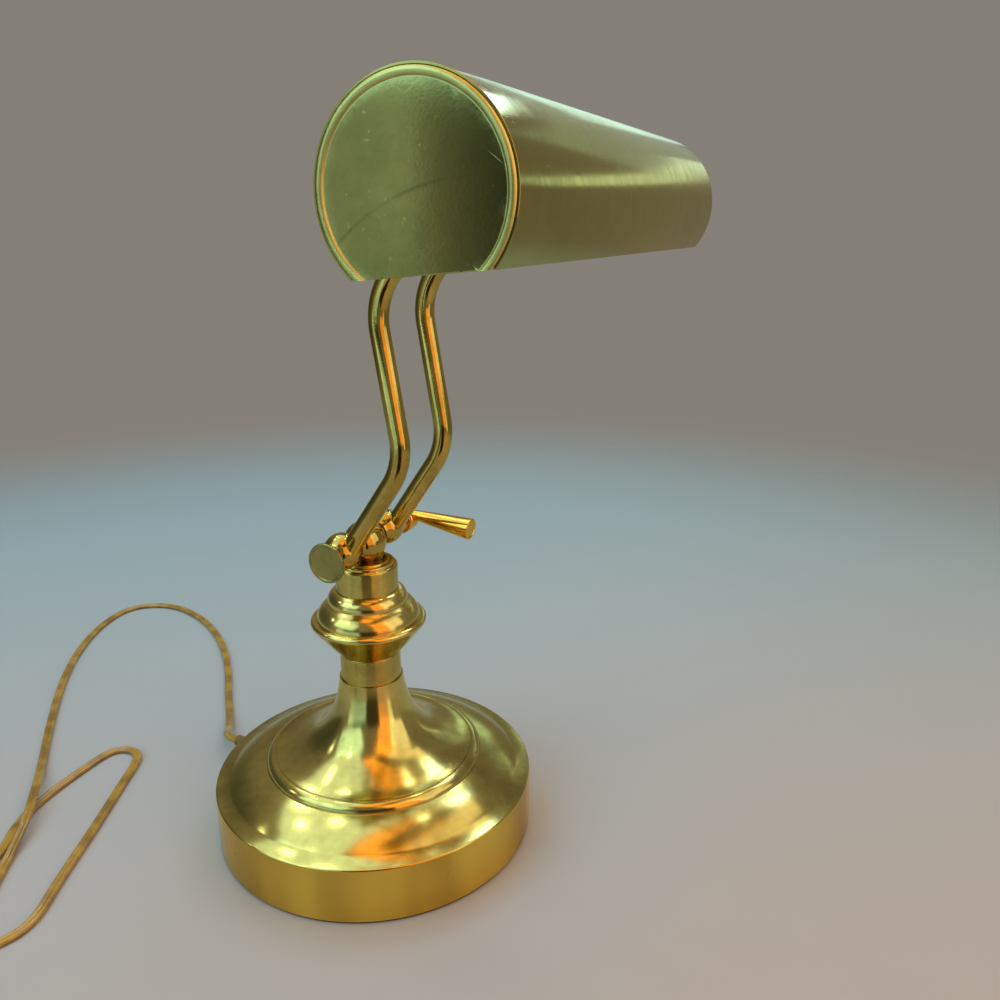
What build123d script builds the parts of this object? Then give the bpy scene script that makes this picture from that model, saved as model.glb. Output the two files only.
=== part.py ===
from build123d import *
import math
import os

os.makedirs("parts", exist_ok=True)

# Brass piano lamp, in millimetres. Origin: centre of the felt's underside, +Z up.
# +X runs along the shade and the pivot axle, towards the clamp lever and the switch knob.
# -Y is the front, where the shade overhangs; the cord leaves at the back.

# fits
slide_fit = 0.05  # a pressed or brazed seat
run_fit = 0.08  # a shaft that turns in its hole
air_fit = 0.3  # bodies that pass each other
face_slack = 0.01  # how near a face an edge has to lie to belong to it

# base
felt_thick = 1.5
base_radius = 86.0
base_wall = 1.2
rim_top = 31.0
shoulder_radius = 79.0
shoulder_rise = 1.6
dome_radius = 58.6
dome_rise = 9.0
dome_crown = 1.5
step_radius = 53.5
step_rise = 4.2
step_groove = 0.35
neck_base = 88.1
throat_radius = 17.0
plate_thick = 2.0
plate_slack = 0.4
weight_thick = 11.5
weight_slack = 4.0

# centre pipe and its nut
pipe_radius = 5.0
pipe_bore = 3.5
pipe_low = 11.0
nut_flats = 15.0
nut_thick = 5.0
washer_radius = 12.0
washer_thick = 1.6

# turned column pieces, one on the other
column_wall = 1.3
neck_radius = 16.1
neck_height = 14.7
belly_radius = 23.2  # the bowl halfway up
bowl_radius = 29.4
bowl_height = 16.2
bead_radius = 30.4
bead_height = 3.6
cap_seat_radius = 27.1
cap_height = 15.8
cap_tier_radius = 21.6
cap_tier_rise = 8.5
cup_radius = 16.3
cup_height = 12.3
cup_edge = 1.5
seat_radius = 14.6
seat_height = 1.4
seat_step_radius = 11.7
seat_step_height = 0.8

# pivot on top of the column
ball_lift = 9.5  # the axle above the seat
axle_radius = 2.5
ball_radius = 11.0
ball_neck_radius = 5.0
ball_neck_reach = 11.0
stem_radius = 3.4
stem_depth = 8.0
washer_fibre_thick = 0.8
washer_fibre_radius = 6.0

# arms
arm_spacing = 42.0
arm_radius = 4.75
arm_wall = 0.9
arm_foot_forward = 2.7
knee_forward = 37.2
knee_rise = 50.1
knee_bend = 32.5
crook_forward = 22.8
crook_rise = 136.8
crook_bend = 32.0
boss_radius = 9.4
boss_rise = 1.6  # the ball's middle above the axle
boss_inset = 0.4  # and nearer the lamp's middle than its arm
boss_flat = 7.5
boss_neck_radius = 5.2
arm_foot_gap = 4.8

# axle ends
end_disc_radius = 10.1
end_disc_thick = 1.7
end_bell_length = 4.6
end_bell_radius = 5.6
hub_neck_radius = 5.6
hub_neck_length = 5.6
hub_radius = 7.0
hub_length = 9.0
hub_groove = 0.5
hub_dome = 1.8
lever_offset = 3.7
lever_droop = 5.8
lever_root_reach = 2.8
lever_reach = 41.0
lever_root_radius = 2.4
lever_tip_radius = 5.9

# shade
shade_length = 254.0
shade_radius = 34.0
shade_wall = 0.7
shade_forward = 106.2
shade_rise = 165.6  # the shade's centre above the axle
shade_tilt = 5.3
mouth_half_angle = 45.9
hem_width = 2.6
cap_wall = 0.7
cap_depth = 7.5
cap_round = 1.6
cap_bead_round = 1.5
cap_bead_proud = 0.9  # how far the rolled bead stands out of the shade's end
cap_foot_round = 0.4  # the straight lower edge

# hidden pivot between the arms and the shade
hinge_offset = 26.0
hinge_angle = 71.0
hinge_rod_radius = 3.0
eye_radius = 6.4
eye_width = 9.5
slot_width = 11.5
slot_length = 23.0
saddle_gap = 0.8
saddle_thick = 2.0
saddle_radius = 5.6
saddle_foot_thick = 1.4
saddle_foot_length = 12.0
saddle_foot_angle = 15.0
rivet_radius = 1.5
rivet_head_radius = 2.8
rivet_head_height = 1.1
rivet_angle = 8.5
rod_end_length = 3.0

# lamp holder, bulb and switch
holder_radius = 16.0
holder_length = 40.0
holder_wall = 0.8
holder_neck = 7.0
bush_radius = 5.0
bush_reach = 6.5
ring_nut_flats = 16.0
ring_nut_thick = 2.6
switch_shaft_radius = 1.6
switch_gap = 1.0
knob_radius = 7.5
knob_length = 13.0
knob_flutes = 24
knob_flute_radius = 0.7
screw_shell_radius = 13.6
screw_shell_wall = 0.5
screw_shell_length = 22.0
contact_radius = 4.0
bulb_cap_radius = 12.9
bulb_cap_length = 24.0
bulb_radius = 15.0
bulb_length = 138.0
glass_wall = 0.8

# mains lead
cord_diameter = 5.2
lead_radius = 2.6
lead_slope = 34.0  # how far inside the rim the lead reaches the base plate
lead_bend = 20.0
lead_pipe_bend = 6.0
exit_angle = 85.0
exit_height = 12.0
bush_hole_radius = 4.4
bush_flange_radius = 6.6
bush_flange_thick = 1.8
relief_length = 22.0
relief_tip_radius = 3.4
relief_bore = 2.75
coil_centre = (-230.0, 94.0)
coil_outer_line = 33.0
coil_inner_line = 22.6
coil_layers = 2
coil_stub = 19.0
plug_length = 27.0
plug_width = 24.0
plug_height = 12.0
plug_nose_length = 18.0
blade_length = 17.0
blade_width = 6.4
blade_thick = 1.5
blade_spacing = 12.7

# places worked out from the dimensions above
shell_low = felt_thick
shoulder_height = rim_top + shoulder_rise
dome_top = shoulder_height + dome_rise
step_top = dome_top + step_rise
weight_top = rim_top - base_wall
weight_low = weight_top - weight_thick
bowl_base = neck_base + neck_height
bead_base = bowl_base + bowl_height
cap_base = bead_base + bead_height
cup_base = cap_base + cap_height
seat_base = cup_base + cup_height + cup_edge
step_base = seat_base + seat_height
seat_top = step_base + seat_step_height
axle_height = seat_top + ball_lift
shade_height = axle_height + shade_rise
arm_offset = arm_spacing / 2
boss_inner = ball_neck_reach + washer_fibre_thick + 2 * slide_fit
boss_outer = arm_offset + boss_flat
hub_start = boss_outer + air_fit
ring_start = hub_start + hub_neck_length
hub_end = ring_start + hub_length
shade_inner = shade_radius - shade_wall
mouth_depth = shade_radius * math.cos(math.radians(mouth_half_angle))
shade_end = shade_length / 2
hinge_along = math.radians(hinge_angle)
hinge_y = -shade_forward + hinge_offset * math.sin(hinge_along)
hinge_z = shade_height - hinge_offset * math.cos(hinge_along)
saddle_start = arm_offset + eye_width / 2 + saddle_gap
saddle_end = saddle_start + saddle_thick
holder_end = shade_end - cap_wall
holder_start = holder_end - holder_neck - holder_length
exit_along = math.radians(exit_angle)


def turned(outline, axis=Axis.Z):
    """A closed (radius, height) outline turned about Z."""
    return revolve(make_face(outline), axis)


def ring(outer, inner, low, high):
    """A plain tube about Z."""
    return Pos(0, 0, low) * extrude(Circle(outer) - Circle(inner), high - low)


def rod_x(radius, start, end, y=0.0, z=0.0):
    """A round bar along X."""
    return Pos(start, y, z) * extrude(Plane.YZ * Circle(radius), end - start)


def tube_x(outer, inner, start, end, y=0.0, z=0.0):
    """A round tube along X."""
    return Pos(start, y, z) * extrude(Plane.YZ * (Circle(outer) - Circle(inner)), end - start)


def turned_x(points, y=0.0, z=0.0):
    """A closed list of (x, radius) points turned about the X direction through (y, z)."""
    face = make_face(Plane.XZ * Polyline(*points, close=True))
    return Pos(0, y, z) * revolve(face, Axis.X)


def moved_in(points, amount):
    """The points of an open outline, each moved square to its neighbours, to the left of the way it runs."""
    result = []
    for index, (across, up) in enumerate(points):
        before = Vector(*points[max(index - 1, 0)])
        here = Vector(across, up)
        after = Vector(*points[min(index + 1, len(points) - 1)])
        ways = [way.normalized() for way in (here - before, after - here) if way.length > 0]
        normals = [Vector(-way.Y, way.X) for way in ways]
        middle = sum(normals[1:], normals[0]).normalized()
        reach = amount / max(middle.dot(normals[0]), 0.5)
        result.append((across + middle.X * reach, up + middle.Y * reach))
    return result


# ---------------------------------------------------------------- base


def base_outline(amount):
    """The rim, dome, step and trumpet of the spun shell, moved in by amount."""
    dome_middle = ((shoulder_radius + dome_radius) / 2, shoulder_height + dome_rise / 2 + dome_crown)
    trumpet_rise = neck_base - step_top
    trumpet_run = step_radius - throat_radius
    trumpet = [
        (throat_radius + trumpet_run * share_out, step_top + trumpet_rise * share_up)
        for share_out, share_up in ((0.733, 0.069), (0.408, 0.225), (0.162, 0.486), (0.047, 0.768))
    ]
    points = [(base_radius, shell_low), (base_radius, rim_top), (shoulder_radius, shoulder_height)]
    points += [dome_middle, (dome_radius, dome_top), (step_radius, step_top)]
    points += trumpet + [(throat_radius, neck_base)]
    inner = moved_in(points, amount)
    inner[0] = (inner[0][0], shell_low)
    inner[-1] = (inner[-1][0], neck_base - amount)
    wall, shoulder, dome, step = inner[:2], inner[1:3], inner[2:5], inner[4:6]
    foot, head = step
    round_share = math.sqrt(0.5)
    bulge = (head[0] + (foot[0] - head[0]) * round_share, foot[1] + (head[1] - foot[1]) * round_share)
    curves = [Line(*wall), Line(*shoulder), ThreePointArc(*dome), ThreePointArc(foot, bulge, head)]
    curves.append(Spline(*inner[5:], tangents=[(-1, 0.12), (-0.12, 1)]))
    return curves, inner[0], inner[-1]


def make_base_shell():
    outer, outer_low, outer_top = base_outline(0)
    inner, inner_low, inner_top = base_outline(base_wall)
    hole = pipe_radius + slide_fit
    lid = [Line(outer_top, (hole, outer_top[1])), Line((hole, outer_top[1]), (hole, inner_top[1]))]
    lid.append(Line((hole, inner_top[1]), inner_top))
    outline = [Plane.XZ * edge for edge in outer + lid + inner + [Line(inner_low, outer_low)]]
    shell = turned(outline)
    circles = shell.edges().filter_by(GeomType.CIRCLE)
    outermost = circles.filter_by(lambda edge: abs(edge.radius - base_radius) < face_slack)
    shell = fillet(outermost.sort_by(Axis.Z)[-1], base_wall * 0.8)
    groove = Pos(0, 0, step_top) * Torus(step_radius, step_groove)
    hole_out = exit_place(base_radius - 4) * extrude(Circle(bush_hole_radius + slide_fit), 8)
    return shell - groove - hole_out


def make_felt_pad():
    return extrude(Circle(base_radius - plate_slack * 2), felt_thick)


def make_base_plate():
    radius = base_radius - base_wall - plate_slack
    return Pos(0, 0, felt_thick) * extrude(Circle(radius), plate_thick)


def make_base_weight():
    radius = base_radius - base_wall - weight_slack
    weight = ring(radius, pipe_radius + plate_slack, weight_low, weight_top - slide_fit)
    rim = weight.edges().filter_by(GeomType.CIRCLE).sort_by(SortBy.RADIUS)[-2:]
    return chamfer(rim, 1.5)


def make_lamp_pipe():
    return ring(pipe_radius, pipe_bore, pipe_low, seat_base - cup_edge)


def make_pipe_washer():
    return ring(washer_radius, pipe_radius + slide_fit, weight_low - washer_thick, weight_low)


def make_pipe_nut():
    low = weight_low - washer_thick - nut_thick
    block = Pos(0, 0, low) * extrude(RegularPolygon(nut_flats / 2, 6, major_radius=False), nut_thick)
    round_over = Pos(0, 0, low) * extrude(Circle(nut_flats * 0.57), nut_thick)
    round_over = chamfer(round_over.edges().filter_by(GeomType.CIRCLE), 0.8)
    return (block & round_over) - Pos(0, 0, low - 1) * extrude(Circle(pipe_radius + slide_fit), nut_thick + 2)


# ---------------------------------------------------------------- column


def hollow(points, wall, curved=()):
    """A hollow turning about the pipe: points run up its outside, those at curved lie in the middle of an arc."""

    def edges_of(line):
        edges = []
        index = 0
        while index < len(line) - 1:
            if index + 1 in curved:
                edges.append(ThreePointArc(line[index], line[index + 1], line[index + 2]))
                index += 2
            else:
                edges.append(Line(line[index], line[index + 1]))
                index += 1
        return edges

    inner = moved_in(points, wall)
    inner[0] = (inner[0][0], points[0][1])
    inner[-1] = (inner[-1][0], points[-1][1] - wall)
    hole = pipe_radius + slide_fit
    top = points[-1]
    lid = [Line(top, (hole, top[1])), Line((hole, top[1]), (hole, inner[-1][1]))]
    lid.append(Line((hole, inner[-1][1]), inner[-1]))
    outline = edges_of(points) + lid + edges_of(inner) + [Line(inner[0], points[0])]
    return turned([Plane.XZ * edge for edge in outline])


def make_neck_ring():
    points = [(neck_radius, neck_base), (neck_radius, bowl_base - 0.6), (neck_radius - 0.6, bowl_base)]
    return hollow(points, column_wall)


def make_knob_bowl():
    belly = (belly_radius, bowl_base + bowl_height / 2)
    points = [(neck_radius + 0.2, bowl_base), belly, (bowl_radius, bead_base)]
    points += [(bead_radius, bead_base + bead_height / 2), (cap_seat_radius + 1.2, cap_base)]
    return hollow(points, column_wall, curved=(1, 3))


def make_knob_cap():
    tier = cap_base + cap_tier_rise
    lower = ((cap_seat_radius + cap_tier_radius) / 2 + 1.3, cap_base + cap_tier_rise * 0.55)
    upper_low = (cap_tier_radius - 0.7, tier + 0.5)
    upper = ((upper_low[0] + cup_radius) / 2 + 1.3, (upper_low[1] + cup_base) / 2 + 0.9)
    points = [(cap_seat_radius, cap_base), lower, (cap_tier_radius, tier)]
    points += [upper_low, upper, (cup_radius + 0.5, cup_base)]
    return hollow(points, column_wall, curved=(1, 4))


def make_pivot_cup():
    top = seat_base - cup_edge
    middle = cup_edge * (1 - math.sqrt(0.5))
    points = [(cup_radius, cup_base), (cup_radius, top), (cup_radius - middle, seat_base - middle)]
    points.append((cup_radius - cup_edge, seat_base))
    return hollow(points, column_wall, curved=(2,))


def make_seat_ring():
    steps = ring(seat_radius, stem_radius + slide_fit, seat_base, step_base)
    steps += ring(seat_step_radius, stem_radius + slide_fit, step_base, seat_top)
    edges = steps.edges().filter_by(GeomType.CIRCLE).filter_by(lambda edge: edge.radius > seat_step_radius - 1)
    steps = chamfer(edges.filter_by(lambda edge: edge.center().Z > seat_base + 0.1), 0.25)
    return steps - Pos(0, 0, axle_height) * Sphere(ball_radius + slide_fit)


def make_pivot_ball():
    ball = Pos(0, 0, axle_height) * Sphere(ball_radius)
    necks = rod_x(ball_neck_radius, -ball_neck_reach, ball_neck_reach, 0, axle_height)
    stem_low = seat_base - cup_edge - stem_depth
    stem = Pos(0, 0, stem_low) * extrude(Circle(stem_radius), axle_height - stem_low)
    bore = rod_x(axle_radius + run_fit, -ball_radius * 2, ball_radius * 2, 0, axle_height)
    return ball + necks + stem - bore


# ---------------------------------------------------------------- arms

knee = (-knee_forward, axle_height + knee_rise)
crook = (-crook_forward, axle_height + crook_rise)
foot_way = (Vector(*knee) - Vector(-arm_foot_forward, axle_height)).normalized()
foot = Vector(-arm_foot_forward, axle_height) + foot_way * arm_foot_gap


def arm_line(x, shorter=0.0):
    """The bent centre line of an arm, from its boss to the hinge rod."""
    head = Vector(hinge_y, hinge_z) - (Vector(hinge_y, hinge_z) - Vector(*crook)).normalized() * shorter
    flat = [(foot.X, foot.Y), knee, crook, (head.X, head.Y)]
    return FilletPolyline(*[(x, y, z) for y, z in flat], radius=[knee_bend, crook_bend])


def arm_solid(x, radius, shorter=0.0):
    line = arm_line(x, shorter)
    return sweep(Plane(line @ 0, z_dir=line % 0) * Circle(radius), path=line)


def eye(x, extra=0.0):
    return rod_x(eye_radius + extra, x - eye_width / 2, x + eye_width / 2, hinge_y, hinge_z)


def make_arm(x):
    tube = arm_solid(x, arm_radius) - arm_solid(x, arm_radius - arm_wall)
    return tube - eye(x, slide_fit)


def make_arm_boss(side):
    x = side * arm_offset
    ball = Pos(x - side * boss_inset, 0, axle_height + boss_rise) * Sphere(boss_radius)
    low, high = sorted((side * boss_inner, side * boss_outer))
    keep = rod_x(boss_radius * 2, low, high, 0, axle_height)
    neck = rod_x(boss_neck_radius, low, high, 0, axle_height)
    bore = rod_x(axle_radius + slide_fit, low - 1, high + 1, 0, axle_height)
    return (ball & keep) + neck - bore - arm_solid(x, arm_radius + slide_fit)


def make_axle():
    return rod_x(axle_radius, -boss_outer - end_bell_length + 0.6, hub_end - 1.5, 0, axle_height)


def make_axle_end_cap():
    face = -boss_outer - slide_fit
    bell = face - end_bell_length
    rim = end_disc_radius
    points = [(face, 0), (face, end_bell_radius), (face - end_bell_length * 0.55, end_bell_radius + 1.6)]
    points += [(bell, rim - 0.7), (bell - 0.4, rim), (bell - end_disc_thick + 0.2, rim)]
    points += [(bell - end_disc_thick, rim - 0.3), (bell - end_disc_thick, rim - 1.0)]
    points += [(bell - end_disc_thick + 0.35, rim - 1.3), (bell - end_disc_thick + 0.35, 0)]
    cap = turned_x(points, 0, axle_height)
    return cap - rod_x(axle_radius + slide_fit, bell + 0.5, face + 1, 0, axle_height)


def make_friction_washers():
    low = ball_neck_reach + slide_fit
    high = low + washer_fibre_thick
    right = tube_x(washer_fibre_radius, axle_radius + slide_fit, low, high, 0, axle_height)
    left = tube_x(washer_fibre_radius, axle_radius + slide_fit, -high, -low, 0, axle_height)
    return Compound([right, left])


def make_arm_eye(x):
    bore = rod_x(hinge_rod_radius + slide_fit, x - eye_width, x + eye_width, hinge_y, hinge_z)
    return eye(x) - bore


def make_hinge_rod():
    reach = saddle_end + rod_end_length
    rod = rod_x(hinge_rod_radius, -reach, reach, hinge_y, hinge_z)
    ends = rod.edges().filter_by(GeomType.CIRCLE)
    return chamfer(ends, 0.6)


def make_arm_lead():
    shift = arm_radius - arm_wall - lead_radius - 0.1
    line = arm_line(-arm_offset + shift, eye_radius + 3)
    return sweep(Plane(line @ 0, z_dir=line % 0) * Circle(lead_radius), path=line)


# ---------------------------------------------------------------- clamp


def make_clamp_hub():
    points = [(hub_start, 0), (hub_start, hub_neck_radius), (ring_start, hub_neck_radius)]
    points += [(ring_start, hub_radius - 0.4), (ring_start + 0.4, hub_radius)]
    middle = (ring_start + hub_end) / 2 - 2.4
    points += [(middle - hub_groove, hub_radius), (middle, hub_radius - hub_groove)]
    points.append((middle + hub_groove, hub_radius))
    points += [(hub_end - 0.6, hub_radius), (hub_end, hub_radius - 0.6)]
    points += [(hub_end + hub_dome * 0.7, hub_radius * 0.6), (hub_end + hub_dome, 0)]
    hub = turned_x(points, 0, axle_height)
    return hub - rod_x(axle_radius + run_fit, hub_start - 1, hub_end - 1, 0, axle_height)


def lever_cone(extra=0.0):
    droop = math.radians(lever_droop)
    length = (lever_reach - lever_root_reach) / math.cos(droop)
    start = (hub_end + ring_start) / 2 + 1.4
    way = Vector(0, -math.cos(droop), -math.sin(droop))
    root = Vector(start, -lever_root_reach, axle_height + lever_offset - lever_root_reach * math.tan(droop))
    base = Plane(root, x_dir=(1, 0, 0), z_dir=way)
    tip = Plane(root + way * length, x_dir=(1, 0, 0), z_dir=way)
    cone = loft([base * Circle(lever_root_radius + extra), tip * Circle(lever_tip_radius + extra)])
    return cone, tip


def make_clamp_lever():
    cone, tip = lever_cone()
    cone = chamfer(cone.edges().filter_by(GeomType.CIRCLE).sort_by(SortBy.RADIUS)[-1:], 0.4)
    return cone - rod_x(axle_radius + 0.5, hub_start, hub_end, 0, axle_height)


# ---------------------------------------------------------------- shade

shade_frame = Pos(0, -shade_forward, shade_height)
tilt_back = Rot(-shade_tilt, 0, 0)
below = 4 * shade_radius


def mouth_cut(depth, length):
    """Everything of the shade's round that lies past its flat open mouth."""
    return tilt_back * Pos(0, 0, -depth - below / 2) * Box(length, below, below)


def make_shade_tube():
    tube = tube_x(shade_radius, shade_inner, -shade_end, shade_end)
    tube -= mouth_cut(mouth_depth, shade_length + 2)
    half = math.sqrt(shade_radius**2 - mouth_depth**2)
    hem_length = shade_length - 2 * cap_depth - 1
    for side in (-1, 1):
        hem = tilt_back * Pos(0, side * (half - hem_width / 2), -mouth_depth + shade_wall / 2)
        strip = hem * Box(hem_length, hem_width, shade_wall)
        tube += strip & rod_x(shade_radius, -shade_end, shade_end)
    tube = shade_frame * tube
    crossing = arm_crossing()
    for side in (-1, 1):
        slot = Plane(
            Vector(side * arm_offset, crossing.Y, crossing.Z), x_dir=(1, 0, 0), z_dir=crossing_normal()
        )
        tube -= slot * Pos(0, 0, -6) * extrude(SlotOverall(slot_length, slot_width, rotation=90), 14)
    for place in rivet_places():
        tube -= place * Pos(0, 0, -5) * extrude(Circle(rivet_radius + slide_fit), 10)
    return tube


def arm_crossing():
    """Where the arm's last straight comes through the middle of the shade's wall."""
    middle = shade_radius - shade_wall / 2
    centre = Vector(0, -shade_forward, shade_height)
    rod = Vector(0, hinge_y, hinge_z)
    way = (Vector(0, *crook) - rod).normalized()
    along = (rod - centre).dot(way)
    reach = -along + math.sqrt(along**2 + middle**2 - (rod - centre).length ** 2)
    return rod + way * reach


def crossing_normal():
    centre = Vector(0, -shade_forward, shade_height)
    return (arm_crossing() - centre).normalized()


def cap_blank(inset):
    """The cap's outside moved in by inset: a disc with a round edge and a rolled bead, cut off by the mouth."""
    radius = shade_inner - slide_fit - inset
    disc = rod_x(radius, inset, cap_depth + inset)
    disc = fillet(disc.edges().filter_by(GeomType.CIRCLE).sort_by(Axis.X)[0], cap_round - inset)
    bead_round = cap_bead_round - inset
    bead = Pos(cap_bead_round - cap_bead_proud, 0, 0) * Rot(0, 90, 0) * Torus(radius - bead_round, bead_round)
    return disc + bead - mouth_cut(mouth_depth - inset, 4 * cap_depth)


def make_shade_cap(side):
    pan = cap_blank(0)
    foot = pan.edges().filter_by(GeomType.LINE).filter_by(lambda edge: abs(edge.center().X) < face_slack)
    pan = fillet(foot, cap_foot_round) - cap_blank(cap_wall)
    if side > 0:
        pan = mirror(pan, Plane.YZ) - rod_x(bush_radius + slide_fit, -cap_depth, cap_depth)
    return shade_frame * Pos(side * shade_end, 0, 0) * pan


def wall_place(x, angle, radius):
    """A plane square to the shade's wall: angle is counted from straight down towards the back."""
    turn = math.radians(angle)
    out = Vector(0, math.sin(turn), -math.cos(turn))
    centre = Vector(x, -shade_forward, shade_height)
    return Plane(centre + out * radius, x_dir=(1, 0, 0), z_dir=out)


def rivet_places():
    foot_middle = saddle_end + saddle_foot_length * 0.55
    return [
        wall_place(side * foot_middle, hinge_angle + turn, shade_radius)
        for side in (-1, 1)
        for turn in (-rivet_angle, rivet_angle)
    ]


def make_saddle(side):
    """A bracket inside the shade's back wall that carries one end of the hinge rod."""
    outer = shade_inner - slide_fit
    foot = tube_x(outer, outer - saddle_foot_thick, saddle_start, saddle_end + saddle_foot_length)
    wedge = [(0, 0)] + [
        (shade_radius * 2 * math.sin(math.radians(turn)), -shade_radius * 2 * math.cos(math.radians(turn)))
        for turn in (hinge_angle - saddle_foot_angle, hinge_angle + saddle_foot_angle)
    ]
    sector = extrude(make_face(Plane.YZ * Polyline(*wedge, close=True)), shade_length / 2)
    foot = foot & sector
    rod_y, rod_z = hinge_y + shade_forward, hinge_z - shade_height
    ear = rod_x(saddle_radius, saddle_start, saddle_end, rod_y, rod_z)
    disc = rod_x(outer, saddle_start, saddle_end) - rod_x(hinge_offset, saddle_start - 1, saddle_end + 1)
    ear += disc & sector
    ear = ear & rod_x(outer, saddle_start, saddle_end)
    ear -= rod_x(hinge_rod_radius + run_fit, saddle_start - 1, saddle_end + 1, rod_y, rod_z)
    saddle = shade_frame * (foot + ear)
    if side < 0:
        saddle = mirror(saddle, Plane.YZ)
    for place in rivet_places():
        saddle -= place * Pos(0, 0, -5) * extrude(Circle(rivet_radius + slide_fit), 10)
    return saddle


def make_saddle_rivets():
    length = shade_wall + saddle_foot_thick + slide_fit
    rivets = []
    for place in rivet_places():
        shank = place * Pos(0, 0, -length - 0.4) * extrude(Circle(rivet_radius), length + 0.9)
        dome_radius_here = (rivet_head_radius**2 + rivet_head_height**2) / (2 * rivet_head_height)
        dome = place * Pos(0, 0, rivet_head_height - dome_radius_here) * Sphere(dome_radius_here)
        above = place * Pos(0, 0, 0.12) * extrude(Circle(rivet_head_radius), rivet_head_height)
        rivets.append(shank + (dome & above))
    return Compound(rivets)


# ---------------------------------------------------------------- lamp holder

holder_frame = Pos(0, -shade_forward, shade_height)


def make_holder_shell():
    """The holder's brass case: a cylinder with a rounded cap towards the shade's end."""
    neck_start = holder_end - holder_neck
    outer = [(holder_start, holder_radius), (neck_start, holder_radius)]
    outer += [(neck_start + holder_neck * 0.45, holder_radius * 0.86), (holder_end - 1.2, bush_radius + 2.4)]
    outer += [(holder_end - slide_fit, bush_radius + 2.4)]
    inner = [(x - holder_wall, radius - holder_wall) for x, radius in outer[1:4]]
    hole = bush_radius + slide_fit
    points = outer + [(holder_end - slide_fit, hole), (inner[-1][0], hole)] + inner[::-1]
    points.append((holder_start, holder_radius - holder_wall))
    return holder_frame * turned_x(points)


def make_holder_bush():
    return holder_frame * tube_x(
        bush_radius, switch_shaft_radius + run_fit, holder_end - holder_neck - 4, shade_end + bush_reach
    )


def make_ring_nut():
    hexagon = RegularPolygon(ring_nut_flats / 2, 6, major_radius=False)
    plate = Plane.YZ * (hexagon - Circle(bush_radius + slide_fit))
    return holder_frame * Pos(shade_end + slide_fit, 0, 0) * extrude(plate, ring_nut_thick)


def make_holder_insulator():
    start = holder_start + 1.5
    wall = holder_radius - holder_wall - slide_fit
    floor = start + screw_shell_length + 2
    sleeve = tube_x(wall, screw_shell_radius + slide_fit, start, floor)
    back = tube_x(wall, switch_shaft_radius + run_fit, floor, floor + 7)
    return holder_frame * (sleeve + back)


def make_screw_shell():
    start = holder_start + 2.0
    floor = holder_start + 1.5 + screw_shell_length + 2
    sleeve = tube_x(screw_shell_radius, screw_shell_radius - screw_shell_wall, start, floor)
    web = tube_x(screw_shell_radius, contact_radius + 2, floor - screw_shell_wall, floor)
    return holder_frame * (sleeve + web)


def make_centre_contact():
    floor = holder_start + 1.5 + screw_shell_length + 2
    return holder_frame * rod_x(contact_radius, floor - 1.0, floor)


def make_bulb_cap():
    """The bulb's screw base, with its rounded thread as rings."""
    end = holder_start + screw_shell_length + 2.4
    start = end - bulb_cap_length
    points = [(start, 0), (start, bulb_cap_radius)]
    turns = 5
    pitch = (bulb_cap_length - 8) / turns
    for turn in range(turns):
        low = start + 3 + turn * pitch
        points += [(low, bulb_cap_radius), (low + pitch * 0.5, bulb_cap_radius - 0.7)]
    points += [(end - 5, bulb_cap_radius), (end - 3, bulb_cap_radius - 3), (end - 1, 4.5), (end, 3.5), (end, 0)]
    return holder_frame * turned_x(points)


def make_bulb_glass():
    """A tubular envelope, closed by a round end."""
    start = holder_start + screw_shell_length + 2.4 - bulb_cap_length - slide_fit
    far = start - bulb_length

    def body(radius, inset):
        straight = rod_x(radius, far + bulb_radius, start - 6)
        nose = Pos(far + bulb_radius, 0, 0) * Sphere(radius)
        neck_radius_here = radius - bulb_radius + bulb_cap_radius - 0.6
        neck = loft([
            Plane((start - 6, 0, 0), x_dir=(0, 1, 0), z_dir=(1, 0, 0)) * Circle(radius),
            Plane((start - inset, 0, 0), x_dir=(0, 1, 0), z_dir=(1, 0, 0)) * Circle(neck_radius_here),
        ])
        return straight + nose + neck

    return holder_frame * (body(bulb_radius, 0) - body(bulb_radius - glass_wall, 0.8))


def make_switch_knob():
    start = shade_end + bush_reach + switch_gap
    end = start + knob_length
    points = [(start, 0), (start, knob_radius * 0.8), (start + 1.2, knob_radius), (end - 1.6, knob_radius)]
    points += [(end, knob_radius - 1.6), (end, 0)]
    knob = turned_x(points)
    for index in range(knob_flutes):
        turn = 2 * math.pi * index / knob_flutes
        y, z = knob_radius * math.cos(turn), knob_radius * math.sin(turn)
        knob -= rod_x(knob_flute_radius, start + 2.4, end + 1, y, z)
    shaft = rod_x(switch_shaft_radius, holder_start + screw_shell_length + 6, start + 3)
    return holder_frame * (knob + shaft)


# ---------------------------------------------------------------- wiring inside


def make_shade_lead():
    """The lead from the pivot to the back of the holder, laid along the shade's inner wall."""
    turn = math.radians(hinge_angle + 32)
    radius = shade_inner - lead_radius - slide_fit
    y = -shade_forward + radius * math.sin(turn)
    z = shade_height - radius * math.cos(turn)
    start = -arm_offset + eye_width
    line = Line((start, y, z), (holder_start + 6, y, z))
    return sweep(Plane(line @ 0, z_dir=line % 0) * Circle(lead_radius), path=line)


def exit_place(radius):
    """A plane at the cord's exit, looking out of the base."""
    out = Vector(math.cos(exit_along), math.sin(exit_along), 0)
    return Plane(out * radius + Vector(0, 0, exit_height), x_dir=(-out.Y, out.X, 0), z_dir=out)


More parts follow.
